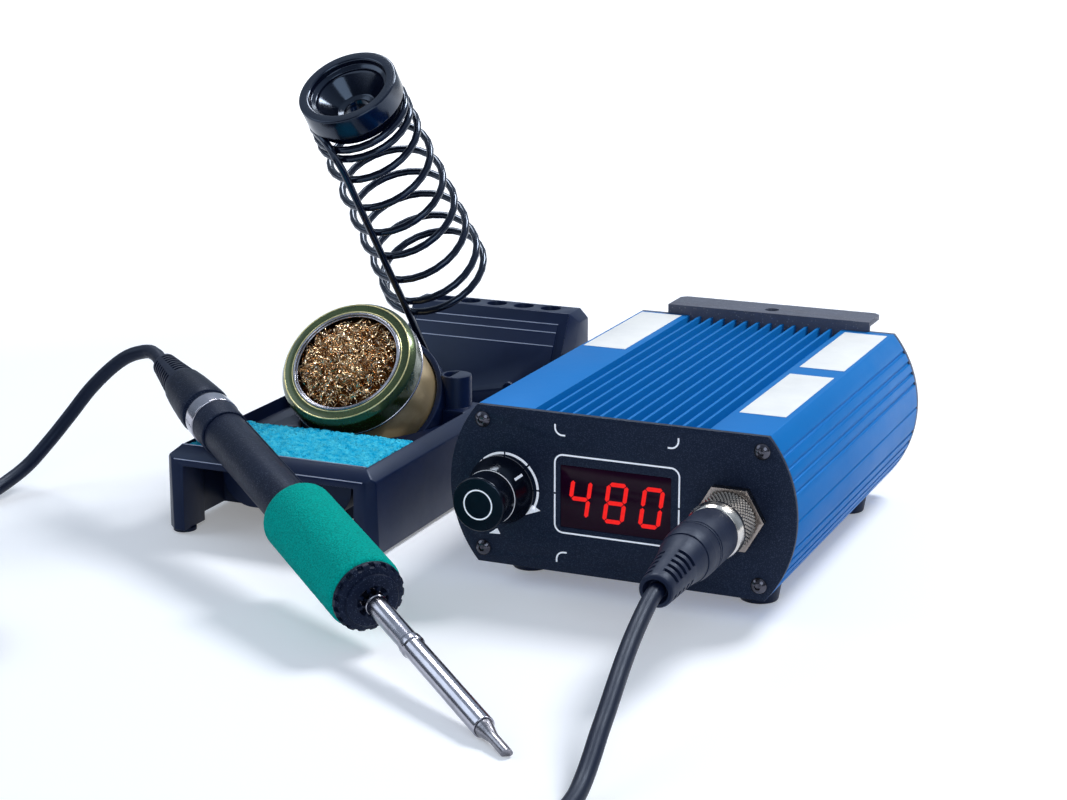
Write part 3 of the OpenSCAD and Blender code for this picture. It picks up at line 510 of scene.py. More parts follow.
def smoothPath(points, steps):
    # a smooth curve through every point
    out = []
    for i in range(len(points) - 1):
        p0, p1, p2, p3 = (points[min(max(k, 0), len(points) - 1)] for k in range(i - 1, i + 3))
        for s in range(steps):
            t = s / steps
            out.append(0.5 * ((2 * p1) + (p2 - p0) * t + (2 * p0 - 5 * p1 + 4 * p2 - p3) * t * t
                              + (3 * p1 - p0 - 3 * p2 + p3) * t * t * t))
    out.append(points[-1].copy())
    return out


def evaluated(maker, name):
    # the mesh that the maker's modifier gives; the maker itself goes
    graph = bpy.context.evaluated_depsgraph_get()
    mesh = bpy.data.meshes.new_from_object(maker.evaluated_get(graph))
    bpy.data.objects.remove(maker)
    mesh.name = name
    return mesh


edgeSet = {"segments": 2, "angle": 30, "merge": 2e-6, "flat": 0.6}


def refine(node, width, look=None, clamp=True):
    # a CAD piece's own shape with its doubles merged and its edges rounded
    shape = bmesh.new()
    shape.from_mesh(frame["nodes"][node].data)
    bmesh.ops.remove_doubles(shape, verts=shape.verts, dist=edgeSet["merge"])
    bmesh.ops.dissolve_limit(shape, angle_limit=math.radians(edgeSet["flat"]), verts=shape.verts,
                             edges=shape.edges)
    mesh = bpy.data.meshes.new(node + "Look")
    shape.to_mesh(mesh)
    shape.free()
    if "custom_normal" in mesh.attributes:
        mesh.attributes.remove(mesh.attributes["custom_normal"])
    maker = newObject("helper", mesh)
    bevel = maker.modifiers.new("edge", "BEVEL")
    bevel.width = width * mm
    bevel.segments = edgeSet["segments"]
    bevel.limit_method = "ANGLE"
    bevel.angle_limit = math.radians(edgeSet["angle"])
    bevel.use_clamp_overlap = clamp
    bevel.miter_outer = "MITER_ARC"
    return finishPiece(evaluated(maker, node + "Look"), node + "Look", node, look, (node,))


def fromTree(name, build, values, matrix, node, look=None, sharp=38):
    # runs a Geometry Nodes tree and keeps its result as a plain mesh
    def painted(group, start, calc):
        real = addNode(group, "GeometryNodeRealizeInstances",
                       {"Geometry": build(group, start, calc)})
        return addNode(group, "GeometryNodeSetMaterial", {
            "Geometry": real.outputs[0], "Material": looks[look or slotOf[node]]}).outputs[0]
    group = newGroup(name + "Tree", painted, values, "Geometry", "Geometry", "GeometryNodeTree")
    maker = newObject(name + "Maker", bpy.data.meshes.new(name + "Maker"))
    modifier = maker.modifiers.new("nodes", "NODES")
    modifier.node_group = group
    for item in group.interface.items_tree:
        if item.in_out == "INPUT":
            modifier[item.identifier] = values[item.name]
    maker.update_tag()
    bpy.context.view_layer.update()
    mesh = evaluated(maker, name)
    mesh.transform(matrix)
    return finishPiece(mesh, name, node, look, sharp=sharp)


def roundNode(group, calc, angle, radius, height):
    # a point at an angle round the axis
    return addNode(group, "CombineXYZ", {
        0: calc("MULTIPLY", calc("COSINE", angle), radius),
        1: calc("MULTIPLY", calc("SINE", angle), radius), 2: height}).outputs[0]


def scatter(group, count, place, shape, **more):
    # copies of a shape, one at each point
    points = addNode(group, "GeometryNodePoints", {"Count": count, "Position": place})
    return addNode(group, "GeometryNodeInstanceOnPoints", {
        "Points": points.outputs[0], "Instance": shape, **more}).outputs["Instances"]


# ---- cord ----

cordSet = {"thick": 5.5, "sides": 14, "coilCentre": (-203, -137), "inner": 28.2, "outer": 33.8,
           "low": 2.85, "high": 8.4, "lift": 0.08, "enter": 20, "leave": 1155, "shift": 60,
           "step": 12, "steps": 5}
frontRoute = [
    (39.7, -68.6, 33.45), (39.75, -72.5, 32.9), (39.8, -77, 31.7), (40.2, -85, 28.9),
    (41, -94, 25.9), (42, -103, 22.6), (43.2, -112, 19.2), (44.4, -121, 15.6),
    (45.5, -130, 12), (46.6, -138, 8.6), (47.5, -146, 5.4), (48.2, -154, 3.4)]
frontRoute += [(x, y, 2.8) for x, y in (
    (48, -163), (45, -173), (38, -182), (27, -189), (12, -195), (-4, -200), (-22, -206),
    (-42, -212), (-62, -218), (-82, -223), (-102, -224), (-119, -219), (-133, -209),
    (-143.5, -195.5), (-151.5, -180.5), (-157.8, -165), (-163.4, -149.5), (-167.6, -137))]
rearRoute = [
    (-203, -101.4, 8.2), (-213, -96.5, 5.4), (-222, -88, 2.9), (-235, -74, 2.8),
    (-247, -57, 2.8), (-256, -38, 2.8), (-262, -18, 2.8), (-264, 0, 3.2), (-263, 14, 5.2),
    (-260, 27, 10), (-256, 37, 18), (-250, 44, 28), (-243, 48, 38), (-234, 50, 47),
    (-226, 51, 52.6), (-217.5, 51.2, 55.2), (-211.76, 48.44, 54.98), (-208.66, 46.03, 54.25),
    (-204.39, 42.72, 53.26)]


def windings():
    # one turn low outside, one low inside, one high inside, then out over the first
    points = []
    enter, shift = cordSet["enter"], cordSet["shift"]
    gap = cordSet["outer"] - cordSet["inner"]
    for angle in range(enter, cordSet["leave"] + 1, cordSet["step"]):
        past = [min(max((angle - (enter + 360 * (k + 1) - shift)) / shift, 0), 1)
                for k in range(3)]
        ease = [p * p * (3 - 2 * p) for p in past]
        r = cordSet["outer"] - gap * ease[0] + gap * ease[2]
        z = cordSet["low"] + (cordSet["high"] - cordSet["low"]) * ease[1]
        a = math.radians(angle)
        points.append((cordSet["coilCentre"][0] + r * math.cos(a),
                       cordSet["coilCentre"][1] + r * math.sin(a), z))
    return points


cordPath = smoothPath([at(*p) for p in frontRoute + windings() + rearRoute], cordSet["steps"])
for point in cordPath:
    point.z = max(point.z, (cordSet["thick"] / 2 + cordSet["lift"]) * mm)
cordPath.reverse()
cordPiece = addShape("cord", "cord_coil",
                     tube(cordPath, cordSet["thick"] / 2 * mm, cordSet["sides"]),
                     covers=("cord_front", "cord_coil", "cord_rear"), sharp=50, rides=False)
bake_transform(cordPiece)


# ---- turned pieces ----

def rounded(profile, radius, steps=3):
    # every corner off the axis becomes a short curve
    out = []
    for i, corner in enumerate(profile):
        if corner[0] < 1e-6:
            out.append(tuple(corner))
            continue
        a, b = Vector(profile[i - 1]), Vector(corner)
        c = Vector(profile[(i + 1) % len(profile)])
        reach = min(radius, (a - b).length * 0.42, (c - b).length * 0.42)
        s, e = b + (a - b).normalized() * reach, b + (c - b).normalized() * reach
        for j in range(steps + 1):
            t = j / steps
            q = s * (1 - t) ** 2 + b * (2 * t * (1 - t)) + e * t ** 2
            out.append((q.x, q.y))
    return out


def turned(name, node, matrix, profile, rounding=0.3, sides=96, look=None):
    return addShape(name, node, lathe(rounded(profile, rounding), sides), matrix, look, (node,))


def addBand(name, node, matrix, section, look, sides=96):
    return addShape(name, node, lathe(section, sides), matrix, look)


# ---- case ----

caseEdges = {"upper_shell": 0.18, "lower_shell": 0.25, "front_panel": 0.3, "rear_panel": 0.3,
             "front_screws": 0.3, "rear_screws": 0.3, "case_feet": 0.5, "display_window": 0.12,
             "encoder_nut": 0.15, "socket_body": 0.15, "socket_nut": 0.35, "mains_inlet": 0.35,
             "fuse_drawer": 0.3, "rocker_frame": 0.3, "power_rocker": 0.3, "case_labels": 0.04}
for node, width in caseEdges.items():
    refine(node, width, "nickel_dark" if node == "socket_nut" else None)

# pieces that the case hides keep their CAD shape
for node in ("display_module", "control_board", "encoder_body", "switch_plunger", "knob_shaft",
             "power_board", "transformer", "capacitors", "heatsink", "plug_insert",
             "contact_block", "fuse"):
    piece = frame["nodes"][node]
    piece.data.materials.clear()
    piece.data.materials.append(looks[slotOf[node]])

turned("knobLook", "knob", knobFrame, [
    (0, 1.05), (12, 1.05), (12, 2.2), (9.2, 9.6), (8.9, 9.8), (8.9, 10.4), (9.4, 10.9),
    (9.4, 20), (9, 20.4), (0, 20.3)], sides=128)
addBand("knobFace", "knob", knobFrame, [(0, 20.2), (9.05, 20.2), (9.0, 20.43), (0, 20.4)],
        "knob_face", 160)
addBand("knobRing", "knob", knobFrame, [(4.82, 20.2), (5.3, 20.2), (5.3, 20.47), (4.82, 20.47)],
        "print_white")
# a white band at the knob's step: a painted highlight where the step's edge catches the light
addBand("knobLine", "knob", knobFrame, [(9.3, 10.95), (9.3, 11.25), (9.47, 11.25),
                                        (9.47, 10.95)], "print_white")

# the pointer on the knob's skirt, along x and then turned
barSet = {"angle": 38, "half": 0.45, "lift": 0.09, "ends": ((11.35, 3.95), (9.95, 7.65))}
blockFaces = [(0, 1, 3, 2), (4, 6, 7, 5), (0, 4, 5, 1), (2, 3, 7, 6), (1, 5, 7, 3), (0, 2, 6, 4)]
points = [(r + lift, side, z + lift * 0.4) for r, z in barSet["ends"]
          for side in (-barSet["half"], barSet["half"]) for lift in (0, barSet["lift"])]
addShape("knobBar", "knob", (points, blockFaces),
         frameAt(knobMiddle, (90, "X"), (barSet["angle"], "Z")), "print_white")


# ---- printed marks and the display ----

markSet = {"width": 0.55, "front": -0.06, "back": 0.02}


def prism(outline, front=markSet["front"], back=markSet["back"], strip=0):
    # a flat outline of (x, z) points; strip: how many pairs a ribbon has
    count = len(outline)
    points = [(p[0], front, p[1]) for p in outline] + [(p[0], back, p[1]) for p in outline]
    faces = []
    if strip:
        for i in range(strip - 1):
            j = count - 1 - i
            faces.append((i, i + 1, j - 1, j))
            faces.append((i + count, j + count, j - 1 + count, i + 1 + count))
    else:
        faces = [tuple(range(count)), tuple(range(2 * count - 1, count - 1, -1))]
    for i in range(count):
        n = (i + 1) % count
        faces.append((i, i + count, n + count, n))
    return points, faces


def ribbon(points, widths=None):
    # a flat strip in the panel's plane
    left, right = [], []
    for p, d, width in zip(points, directions(points), widths or [markSet["width"]] * len(points)):
        n = Vector((-d.y, d.x)) * (width / 2)
        left.append(Vector(p) + n)
        right.append(Vector(p) - n)
    return prism(left + right[::-1], strip=len(points))


def arcPoints(centre, radius, start, stop, steps):
    angles = [math.radians(start + (stop - start) * i / steps) for i in range(steps + 1)]
    return [(centre[0] + radius * math.cos(a), centre[1] + radius * math.sin(a)) for a in angles]


def joined(shapes):
    points, faces = [], []
    for p, f in shapes:
        base = len(points)
        points += p
        faces += [tuple(i + base for i in face) for face in f]
    return points, faces


def onPanel(name, node, shapes, look):
    points, faces = joined(shapes)
    return addShape(name, node, ([at(*p) for p in points], faces), None, look)


# the line round the display, in two halves
outlineSet = {"left": -23.05, "right": 21.55, "low": 22.63, "high": 50.1, "round": 3.0,
              "middle": 36.36, "gap": 0.35}
left, right, round_, middle = (outlineSet[k] for k in ("left", "right", "round", "middle"))
shapes = []
for edge, turn in ((outlineSet["high"], -1), (outlineSet["low"], 1)):
    inner, split = edge + turn * round_, middle - turn * outlineSet["gap"]
    shapes.append(ribbon([(left, split), (left, inner)]
                         + arcPoints((left + round_, inner), round_, 180, 180 + 90 * turn, 8)[1:]
                         + [(right - round_, edge)]
                         + arcPoints((right - round_, inner), round_, -90 * turn, 0, 8)[1:]
                         + [(right, split)]))

# a small hook at each corner; side and up: the way it opens
hookSet = {"round": 2.6, "arm": 1.1,
           "places": ((-23.0, 56.9, -1, 1), (21.0, 56.93, 1, 1), (-22.3, 15.56, -1, -1),
                      (20.9, 15.56, 1, -1))}
r, arm = hookSet["round"], hookSet["arm"]
for x, z, side, up in hookSet["places"]:
    centre = (x - side * r, z + up * r)
    start = 90 * (1 - side)
    shapes.append(ribbon([(x, centre[1] + up * arm)]
                         + arcPoints(centre, r, start, start - 90 * side * up, 7)
                         + [(centre[0] - side * arm, z)]))

# the scale round the knob, which grows thicker towards its end
dialSet = {"centre": (-41.6, 35.9), "radius": 12.3, "stops": (156, 132, 90, 45.7, 2, -31),
           "gap": 1.5, "thin": 0.15, "thick": 0.85, "grow": 1.2, "steps": 10}
steps, first, final = dialSet["steps"], dialSet["stops"][0], dialSet["stops"][-1]
for start, stop in zip(dialSet["stops"], dialSet["stops"][1:]):
    start, stop = start - dialSet["gap"], stop + (dialSet["gap"] if stop > final else 0)
    widths = [min(dialSet["thin"] + dialSet["grow"]
                  * (first - (start + (stop - start) * i / steps)) / 90, dialSet["thick"])
              for i in range(steps + 1)]
    shapes.append(ribbon(arcPoints(dialSet["centre"], dialSet["radius"], start, stop, steps),
                         widths))
for arrow in (((-28.3, 29.3), (-34.8, 26.8), (-32.2, 29.8), (-31.3, 31.0)),
              ((-47.61, 18.8), (-43.34, 19.07), (-44.46, 21.02))):
    shapes.append(prism(arrow))
onPanel("marks", "front_panel", shapes, "print_white")

digitSet = {"width": 7.75, "height": 14.5, "slant": 0.135, "bar": 1.45, "gap": 0.24,
            "foot": 28.0, "starts": (-18.9, -5.95, 6.95), "front": 0.14, "back": 0.24,
            "point": 0.9}
strokesOf = {"4": "fgbc", "8": "abcdefg", "0": "abcdef"}
# where each stroke starts and ends: across and up, then across and up
strokeSet = {"a": (0, 2, 1, 2), "b": (1, 2, 1, 1), "c": (1, 1, 1, 0), "d": (0, 0, 1, 0),
             "e": (0, 1, 0, 0), "f": (0, 2, 0, 1), "g": (0, 1, 1, 1)}


def digit(character, x0):
    half, gap = digitSet["bar"] / 2, digitSet["gap"]
    across = (half, digitSet["width"] - half)
    up = (half, digitSet["height"] / 2, digitSet["height"] - half)
    out = []
    for stroke in strokesOf[character]:
        i, j, k, m = strokeSet[stroke]
        p, q = Vector((across[i], up[j])), Vector((across[k], up[m]))
        d = (q - p).normalized()
        n, step = Vector((-d.y, d.x)) * half, d * half * digitSet["point"]
        p, q = p + d * gap, q - d * gap
        outline = [p, p + step + n, q - step + n, q, q - step - n, p + step - n]
        out.append(prism([(x0 + v.x + digitSet["slant"] * v.y, digitSet["foot"] + v.y)
                          for v in outline], digitSet["front"], digitSet["back"]))
    return out


shapes = []
for character, x0 in zip("480", digitSet["starts"]):
    shapes += digit(character, x0)
onPanel("digits", "display_window", shapes, "display_digit")
print("case done")


# ---- plug and coupling ring ----

couplingRing = turned("couplingRing", "coupling_ring", ringFrame, [
    (8.05, 0), (9.3, 0), (9.35, 0.4), (9.35, 10), (9.2, 10.3), (9.2, 10.6), (9.8, 10.9),
    (9.9, 12.4), (9.5, 14.6), (8.95, 16), (7.4, 16), (7.4, 9), (8.05, 9)], 0.22, 128)
# a dark band under the knurls: painted shade in the grooves between them
addBand("knurlGrooveShade", "coupling_ring", ringFrame,
        [(9.2, 0.3), (9.37, 0.45), (9.37, 9.95), (9.2, 10.1)], "screw_black", 128)
knurlSet = {"Around": 46.0, "Rows": 8.0, "First": 1.0, "Pitch": 1.24, "Radius": 9.42,
            "Size": 0.56, "Height": 0.46}


def knurls(group, start, calc):
    # rows of small pyramids, every other row half a step on
    index = addNode(group, "GeometryNodeInputIndex").outputs[0]
    row = calc("FLOOR", calc("DIVIDE", index, start["Around"]))
    shift = calc("MULTIPLY", calc("FLOORED_MODULO", row, 2), 0.5)
    column = calc("ADD", calc("FLOORED_MODULO", index, start["Around"]), shift)
    turn = calc("MULTIPLY", calc("DIVIDE", column, start["Around"]), fullTurn)
    height = calc("ADD", start["First"], calc("MULTIPLY", row, start["Pitch"]))
    cone = addNode(group, "GeometryNodeMeshCone", {
        "Vertices": 4, "Radius Top": 0.12, "Radius Bottom": start["Size"],
        "Depth": start["Height"]})
    spin = addNode(group, "CombineXYZ", {1: math.pi / 2, 2: turn})
    return scatter(group, calc("MULTIPLY", start["Around"], start["Rows"]),
                   roundNode(group, calc, turn, start["Radius"], height),
                   cone.outputs["Mesh"], Rotation=spin.outputs[0])


knurlPiece = fromTree("knurls", knurls, knurlSet, ringFrame, "coupling_ring", "nickel", 20)

plugShell = turned("plugShell", "plug_shell", plugAt(-10.6), [
    (5.6, 0), (7.3, 0), (7.3, 1.4), (7.2, 1.4), (7.2, 12), (5.6, 12)], 0.15)
plugSleeve = turned("plugSleeve", "plug_sleeve", plugAt(-19.8), [
    (7.25, 0), (9, 0), (9.1, 14.9), (8.75, 15.05), (8.75, 15.35), (9.08, 15.5), (9.08, 16.5),
    (8.75, 16.65), (8.75, 16.95), (9.1, 17.1), (9.05, 21.6), (8.5, 26.1), (5.2, 26.2),
    (5.2, 2.85), (7.25, 2.85)], 0.14, 128, "rubber_black")

slotSet = {"fine": 0.05, "near": 0.02, "ramp": 3, "sides": 144}


def slotted(name, node, matrix, outline, slots, depth, tail=()):
    # outline: (z, r) pairs from thick to thin; slots: (z from, z to, middle angle, half width)
    first, last = outline[0][0], outline[-1][0]

    def radius(z):
        for (z0, r0), (z1, r1) in zip(outline, outline[1:]):
            if z0 <= z <= z1:
                return r0 + (r1 - r0) * (z - z0) / (z1 - z0)
        return outline[-1][1]

    def bend(a, z, r):
        if abs(r - radius(min(max(z, first), last))) > slotSet["near"]:
            return 0
        cut = 0
        for z0, z1, middle, half in slots:
            if z0 < z < z1:
                away = abs((math.degrees(a) - middle + 180) % 360 - 180)
                cut = max(cut, min(max((half - away) / slotSet["ramp"], 0), 1))
        return -depth * cut

    rows = {first, last}      # the profile jumps cleanly at each edge
    for z in [v for s in slots for v in s[:2]] + [o[0] for o in outline[1:-1]]:
        rows |= {z - slotSet["fine"], z + slotSet["fine"]}
    profile = [(radius(z), z) for z in sorted(rows) if first <= z <= last] + list(tail)
    profile = [(0, first)] + profile + [(0, profile[-1][1])]
    return addShape(name, node, lathe(profile, slotSet["sides"], bend), matrix, None, (node,), 30)


def slotRows(count, pitch, width, start, middles, half):
    return [(start + pitch * i, start + width + pitch * i, middle, half)
            for i in range(count) for middle in middles]


plugBoot = slotted("plugBoot", "plug_relief", plugAt(-46, (6, "X")),
    [(-0.4, 8.2), (0.6, 8.2), (3, 7.7), (7, 7.05), (24.2, 5.5), (24.7, 5.1)],
    slotRows(5, 3.0, 1.4, 7.6, (48, 228), 30) + slotRows(5, 3.0, 1.4, 9.1, (138, 318), 27), 1.0,
    ((4.1, 24.8), (2.95, 22.7)))
slotted("handsetBoot", "handset_relief", ironFrame,
    [(264.6, 7.2), (266, 7.1), (285.4, 4.8), (286, 4.4)],
    slotRows(8, 2.3, 1.1, 266.4, (52, 232), 78), 1.5)
print("plug done")


# ---- handset ----

turned("cartridge", "cartridge", ironFrame, [
    (0, 16.75), (3, 16.75), (3, 14.7), (3.4, 14.7), (3.55, 14.9), (3.55, 61.6), (4, 62.2),
    (4, 64.6), (3.5, 65.2), (3.5, 89.4), (3.72, 89.6), (3.72, 91.8), (3.5, 92), (3.5, 152),
    (0, 152)], 0.15)
handsetEdges = {"tip": 0.12, "front_nut": 0.22, "nut_insert": 0.1, "handle_tube": 0.2}
for node, width in handsetEdges.items():
    refine(node, width)
turned("handleCollar", "handle_collar", ironFrame, [
    (6.4, 220.9), (8.85, 220.9), (9.1, 221.7), (9.15, 230.8), (6.4, 230.8)], 0.25)
turned("handleRing", "handle_ring", ironFrame, [
    (6.4, 230.8), (9.2, 230.8), (9.5, 231.1), (9.4, 237.2), (9.2, 237.6), (6.4, 237.6)], 0.2)
turned("handleCap", "handle_cap", ironFrame, [
    (5.2, 237.6), (8.4, 237.6), (8.4, 239.8), (9.35, 240.3), (9.6, 242.6), (9.2, 249),
    (8.45, 258), (7.7, 264.1), (7.3, 264.5), (5.2, 264.5)], 0.5)

# nose and tail: how far each point is below the foam's radius, and from its end
foamSet = {"radius": 12.8, "inner": 8.35, "start": 97.0, "end": 156.0, "step": 0.55,
           "sides": 168, "rough": 0.10, "plain": 3.5, "after": 2.3, "before": 3.6,
           "nose": ((1.6, 0), (0.9, 0.25), (0.35, 0.9), (0.06, 1.8)),
           "tail": ((0.05, 3.3), (0.45, 2.2), (1.1, 1.3), (2.1, 0.6), (3.1, 0.2))}


def foamGrip():
    s0, s1, r = foamSet["start"], foamSet["end"], foamSet["radius"]
    profile = [(foamSet["inner"], s0)] + [(r - drop, s0 + s) for drop, s in foamSet["nose"]]
    s = s0 + foamSet["after"]
    while s < s1 - foamSet["before"]:
        profile.append((r, s))
        s += foamSet["step"]
    profile += [(r - drop, s1 - s) for drop, s in foamSet["tail"]] + [(foamSet["inner"], s1)]

    def bend(a, z, here):
        if here < r - foamSet["plain"]:
            return 0
        v = Vector((here * math.cos(a), here * math.sin(a), z))
        fine = noise.noise(v * 1.7) + 0.6 * noise.noise(v * 3.3 + Vector((7, 3, 1)))
        return foamSet["rough"] * fine
    return lathe(profile, foamSet["sides"], bend)


foamPiece = addShape("foamGrip", "foam_grip", foamGrip(), ironFrame, None, ("foam_grip",), 0)
print("handset done")


# ---- stand ----

for node, width in {"stand_base": 0.4, "tip_rack": 0.35, "stand_feet": 0.2}.items():
    refine(node, width, clamp=False)


def bar(half, y0, y1, z0, z1):
    return [(x, y, z) for x in (-half, half) for y in (y0, y1) for z in (z0, z1)], blockFaces


# light strips along the rack's three steps and the stand's front edges: painted highlights where
# these edges catch the light
stepSet = {"lean": -28.8, "corner": (standX, 199.2, 50), "half": 33.4, "thick": 0.34,
           "steps": ((45.4, 0.5), (42, 1.0), (36.6, 1.5))}
rimSet = {"front": 4.8, "drop": 29.0, "half": 39.0, "inner": 9.8, "top": 33.6, "innerHalf": 38.2}
shapes = []
for high, out in stepSet["steps"]:
    z = (high - stepSet["corner"][2]) / math.cos(math.radians(stepSet["lean"]))
    shapes.append(bar(stepSet["half"], -out - 0.06, -out + 0.4, z - stepSet["thick"], z + 0.05))
addShape("rackEdges", "tip_rack", joined(shapes),
         frameAt(stepSet["corner"], (stepSet["lean"], "X")), "edge_shine")
front, drop, inner, top = (rimSet[k] for k in ("front", "drop", "inner", "top"))
addShape("standEdges", "stand_base", joined([
    bar(rimSet["half"], front - 0.05, front + 0.3, drop - 0.15, drop + 0.15),
    bar(rimSet["innerHalf"], inner - 0.2, inner + 0.03, top - 0.3, top + 0.04)]),
    frameAt((standX, 0, 0)), "edge_shine")
turned("woolCup", "wool_cup", tinFrame, [
    (0, -41.4), (29.2, -41.4), (29.2, -28), (26.8, -28), (26.8, -38.5), (0, -38.5)], 0.5, 128)
turned("tinBody", "tin_body", tinFrame, [
    (0, -38), (26.2, -38), (26.2, -1.3), (25.7, -1.3), (25.7, -37.5), (0, -37.5)], 0.2, 144)
turned("tinLid", "tin_lid", tinFrame, [
    (20.8, -1), (20.8, 0), (25.6, 0), (26.9, -1.6), (27.4, -2.4), (27.4, -9.2), (27.1, -10),
    (26.5, -10), (26.5, -1)], 0.3, 160)
for name, radius, z, thick, look in (
        ("lidInner", 21.3, 0.02, 0.5, "steel_bright"),
        ("lidInnerLow", 20.55, -0.55, 0.42, "steel_bright"),
        ("lidGoldInner", 22.25, -0.05, 0.24, "gold_line"),
        ("lidGoldOuter", 25.45, -0.1, 0.28, "gold_line"),
        ("lidFoot", 27.25, -9.5, 0.5, "steel_bright")):
    circle = [fullTurn * i / 10 for i in range(10)]
    section = [(radius + thick * math.cos(a), z + thick * math.sin(a)) for a in circle]
    addBand(name, "tin_lid", tinFrame, section, look, 160)

domeSet = {"mouth": 20.6, "edge": -2.0, "bulge": 3.6, "under": 1.0, "step": 0.45, "sides": 120,
           "lumps": ((0.9, 0.35), (0.5, 1.1), (0.35, 2.4))}      # height and scale of each


def woolDome(r):
    return domeSet["edge"] + domeSet["bulge"] * (1 - (r / domeSet["mouth"]) ** 2)


def woolBed():
    profile = [(0, -37.2), (25.4, -37.2), (25.4, -4.5), (20.6, -3.2)]
    r = 20.0
    while r > 0.4:
        profile.append((r, woolDome(r) - domeSet["under"]))
        r -= domeSet["step"]
    profile.append((0, woolDome(0) - domeSet["under"]))
    points, faces = lathe(profile, domeSet["sides"])
    points = [Vector(p) for p in points]
    (high, wide), (middle, half), (low, fine) = domeSet["lumps"]
    for v in points:
        if v.z > -4.4:
            v.z += high * noise.noise(v * wide) + middle * noise.noise(v * half)
            v.z += low * noise.noise(v * fine)
    return points, faces


# the bed under the curls is dark: painted shade between the wires
addShape("woolBed", "brass_wool", woolBed(), tinFrame, "wool_deep", ("brass_wool",), 0)
curlSet = {"Count": 1300, "Reach": 19.0, "Bulge": 4.6, "Clump": 11.0, "Curl": 1.6, "Wire": 0.125}
coilSet = {"Resolution": 8, "Rotations": 1.3, "Height": 1.3}


def randomNode(group, low, high, seed):
    return addNode(group, "FunctionNodeRandomValue", {2: low, 3: high, 8: seed}).outputs[1]


def curls(group, start, calc):
    # short coils of wire, turned every way, over the wool's domed and lumpy top
    angle = randomNode(group, 0, fullTurn, 1)
    part = calc("SQRT", randomNode(group, 0, 1, 2))
    r = calc("MULTIPLY", part, start["Reach"])
    fall = calc("MULTIPLY", calc("MULTIPLY", part, part), start["Bulge"])
    top = calc("ADD", calc("SUBTRACT", start["Bulge"], fall), randomNode(group, -3.9, -2.6, 3))
    lumps = noiseNode(group, roundNode(group, calc, angle, r, 0), 0.28, 2, 0.5)
    top = calc("ADD", top, calc("MULTIPLY", calc("SUBTRACT", lumps, 0.5), start["Clump"]))
    spiral = addNode(group, "GeometryNodeCurveSpiral", {
        **coilSet, "Start Radius": start["Curl"],
        "End Radius": calc("MULTIPLY", start["Curl"], 1.35)})
    wire = addNode(group, "GeometryNodeCurvePrimitiveCircle", {
        "Resolution": 3, "Radius": start["Wire"]})
    skin = addNode(group, "GeometryNodeCurveToMesh", {
        "Curve": spiral.outputs[0], "Profile Curve": wire.outputs["Curve"], "Fill Caps": True})
    turns = {i: randomNode(group, 0, fullTurn, 5 + i) for i in range(3)}
    return scatter(group, start["Count"], roundNode(group, calc, angle, r, top),
                   skin.outputs["Mesh"], Scale=randomNode(group, 0.6, 1.35, 9),
                   Rotation=addNode(group, "CombineXYZ", turns).outputs[0])


fromTree("woolCurls", curls, curlSet, tinFrame, "brass_wool", sharp=60)
print("tin done")

spongeSet = {"step": 0.55, "rough": 0.85, "torn": 1.1, "most": 0.45, "rim": 2, "sag": 0.35,
             "waves": ((0.6, 0.9), (0.7, 2.1), (0.8, 0.22))}      # height and scale of each


def spongeBlock():
    low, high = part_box("sponge")
    counts = [max(int(round((high[i] - low[i]) / (spongeSet["step"] * mm))), 2) for i in range(3)]
    seen, points, faces = {}, [], []

    def vertex(key):
        if key not in seen:
            seen[key] = len(points)
            part = [key[n] / counts[n] for n in range(3)]
            p = Vector([low[n] + (high[n] - low[n]) * part[n] for n in range(3)])
            away = Vector([(-1 if key[n] == 0 else 1 if key[n] == counts[n] else 0)
                           for n in range(3)])
            edge = min(min(part[n], 1 - part[n]) * counts[n] for n in (0, 1))
            q = p * 1000
            wave = sum(height * noise.noise(q * scale) for height, scale in spongeSet["waves"])
            pit = max(noise.noise(q * 1.3 + Vector((31, 7, 2))) - 0.12, 0) * 2.2
            push = spongeSet["rough"] * wave - spongeSet["torn"] * pit
            if key[2] == 0:
                push = 0
            if edge < spongeSet["rim"] and key[2] == counts[2]:
                push -= spongeSet["sag"] * (spongeSet["rim"] - edge) / spongeSet["rim"]
            points.append(p + away.normalized() * min(push, spongeSet["most"]) * mm)
        return seen[key]

    for axis in range(3):
        u, v = [n for n in range(3) if n != axis]
        for end in (0, counts[axis]):
            for i in range(counts[u]):
                for j in range(counts[v]):
                    loop = []
                    for di, dj in ((0, 0), (1, 0), (1, 1), (0, 1)):
                        key = {axis: end, u: i + di, v: j + dj}
                        loop.append(vertex((key[0], key[1], key[2])))
                    faces.append(tuple(loop))
    return points, faces


spongePiece = addShape("spongeBlock", "sponge", spongeBlock(), None, None, ("sponge",), 0)


# ---- coil holder ----

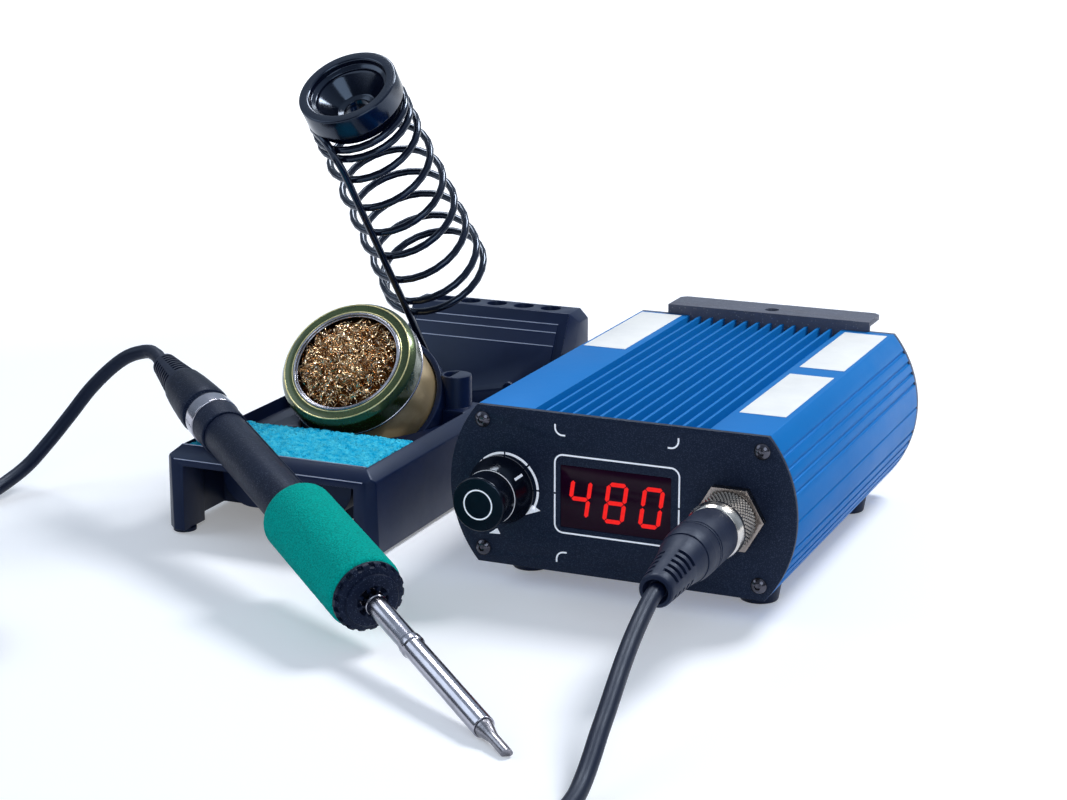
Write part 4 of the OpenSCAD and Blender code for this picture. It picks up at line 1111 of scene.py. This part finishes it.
holderSet = {"wire": 1.45, "sides": 14, "perTurn": 26,
             "pitches": (5.3, 4.3, 11.1, 15, 13, 12.6, 13.3, 12.1, 5.5, 5), "turns": 9.15,
             "angle": 235, "start": -10.3, "top": 19.3, "foot": 22.7, "length": 101.5,
             "ease": (-0.12, -0.06, 0, 0.06, 0.12), "easeFrom": 0.15}
rodSet = {"foot": (-2.5, -26.8, -172), "lean": 2, "length": 146, "steps": 8,
          "bend": ((-2.6, -21.6, -21.2), (-3.4, -21.2, -16.5), (-4.3, -20.3, -13.2),
                   (-5.8, -18.9, -11.3), (-7.9, -17, -10.5))}


def coilDrop(t):
    # how far the coil has come down after t turns
    return -sum(pitch * min(t - k, 1) for k, pitch in enumerate(holderSet["pitches"]) if t > k)


def holderPath():
    # up the straight rod, round the bend, then down the coil
    lean = math.radians(rodSet["lean"])
    rise = Vector((0, math.sin(lean), math.cos(lean)))
    rod = [Vector(rodSet["foot"]) + rise * (rodSet["length"] * i / rodSet["steps"])
           for i in range(rodSet["steps"] + 1)]
    bend = [Vector(p) for p in rodSet["bend"]]
    coil = []
    count = int(holderSet["turns"] * holderSet["perTurn"])
    ease = holderSet["ease"]
    for i in range(count + 1):
        t = holderSet["turns"] * i / count
        soft = sum(coilDrop(max(t + d, 0)) for d in ease) / len(ease)
        z = holderSet["start"] + (soft if t > holderSet["easeFrom"] else coilDrop(t))
        r = (holderSet["top"] - holderSet["wire"]
             - (holderSet["foot"] - holderSet["top"]) * z / holderSet["length"])
        a = math.radians(holderSet["angle"] - 360 * t)
        coil.append(Vector((r * math.cos(a), r * math.sin(a), z)))
    return smoothPath(rod + bend, 3) + coil


addShape("holderWire", "holder_spring", tube(holderPath(), holderSet["wire"], holderSet["sides"]),
         coilFrame, None, ("holder_spring",), 50)
turned("holderFunnel", "holder_funnel", coilFrame, [
    (15.7, 0), (18.9, 0), (19.3, -0.4), (19.3, -8.8), (16.5, -8.8), (16.5, -14), (15.4, -14),
    (15.4, -8), (8.6, -12.4), (6.4, -16.5), (5.2, -16.5), (5.2, -11.4), (7.6, -11),
    (13, -4.6), (13.4, -4), (13.4, -3.2), (15.2, -2.4), (15.2, -0.5)], 0.35, 128)
print("stand done")
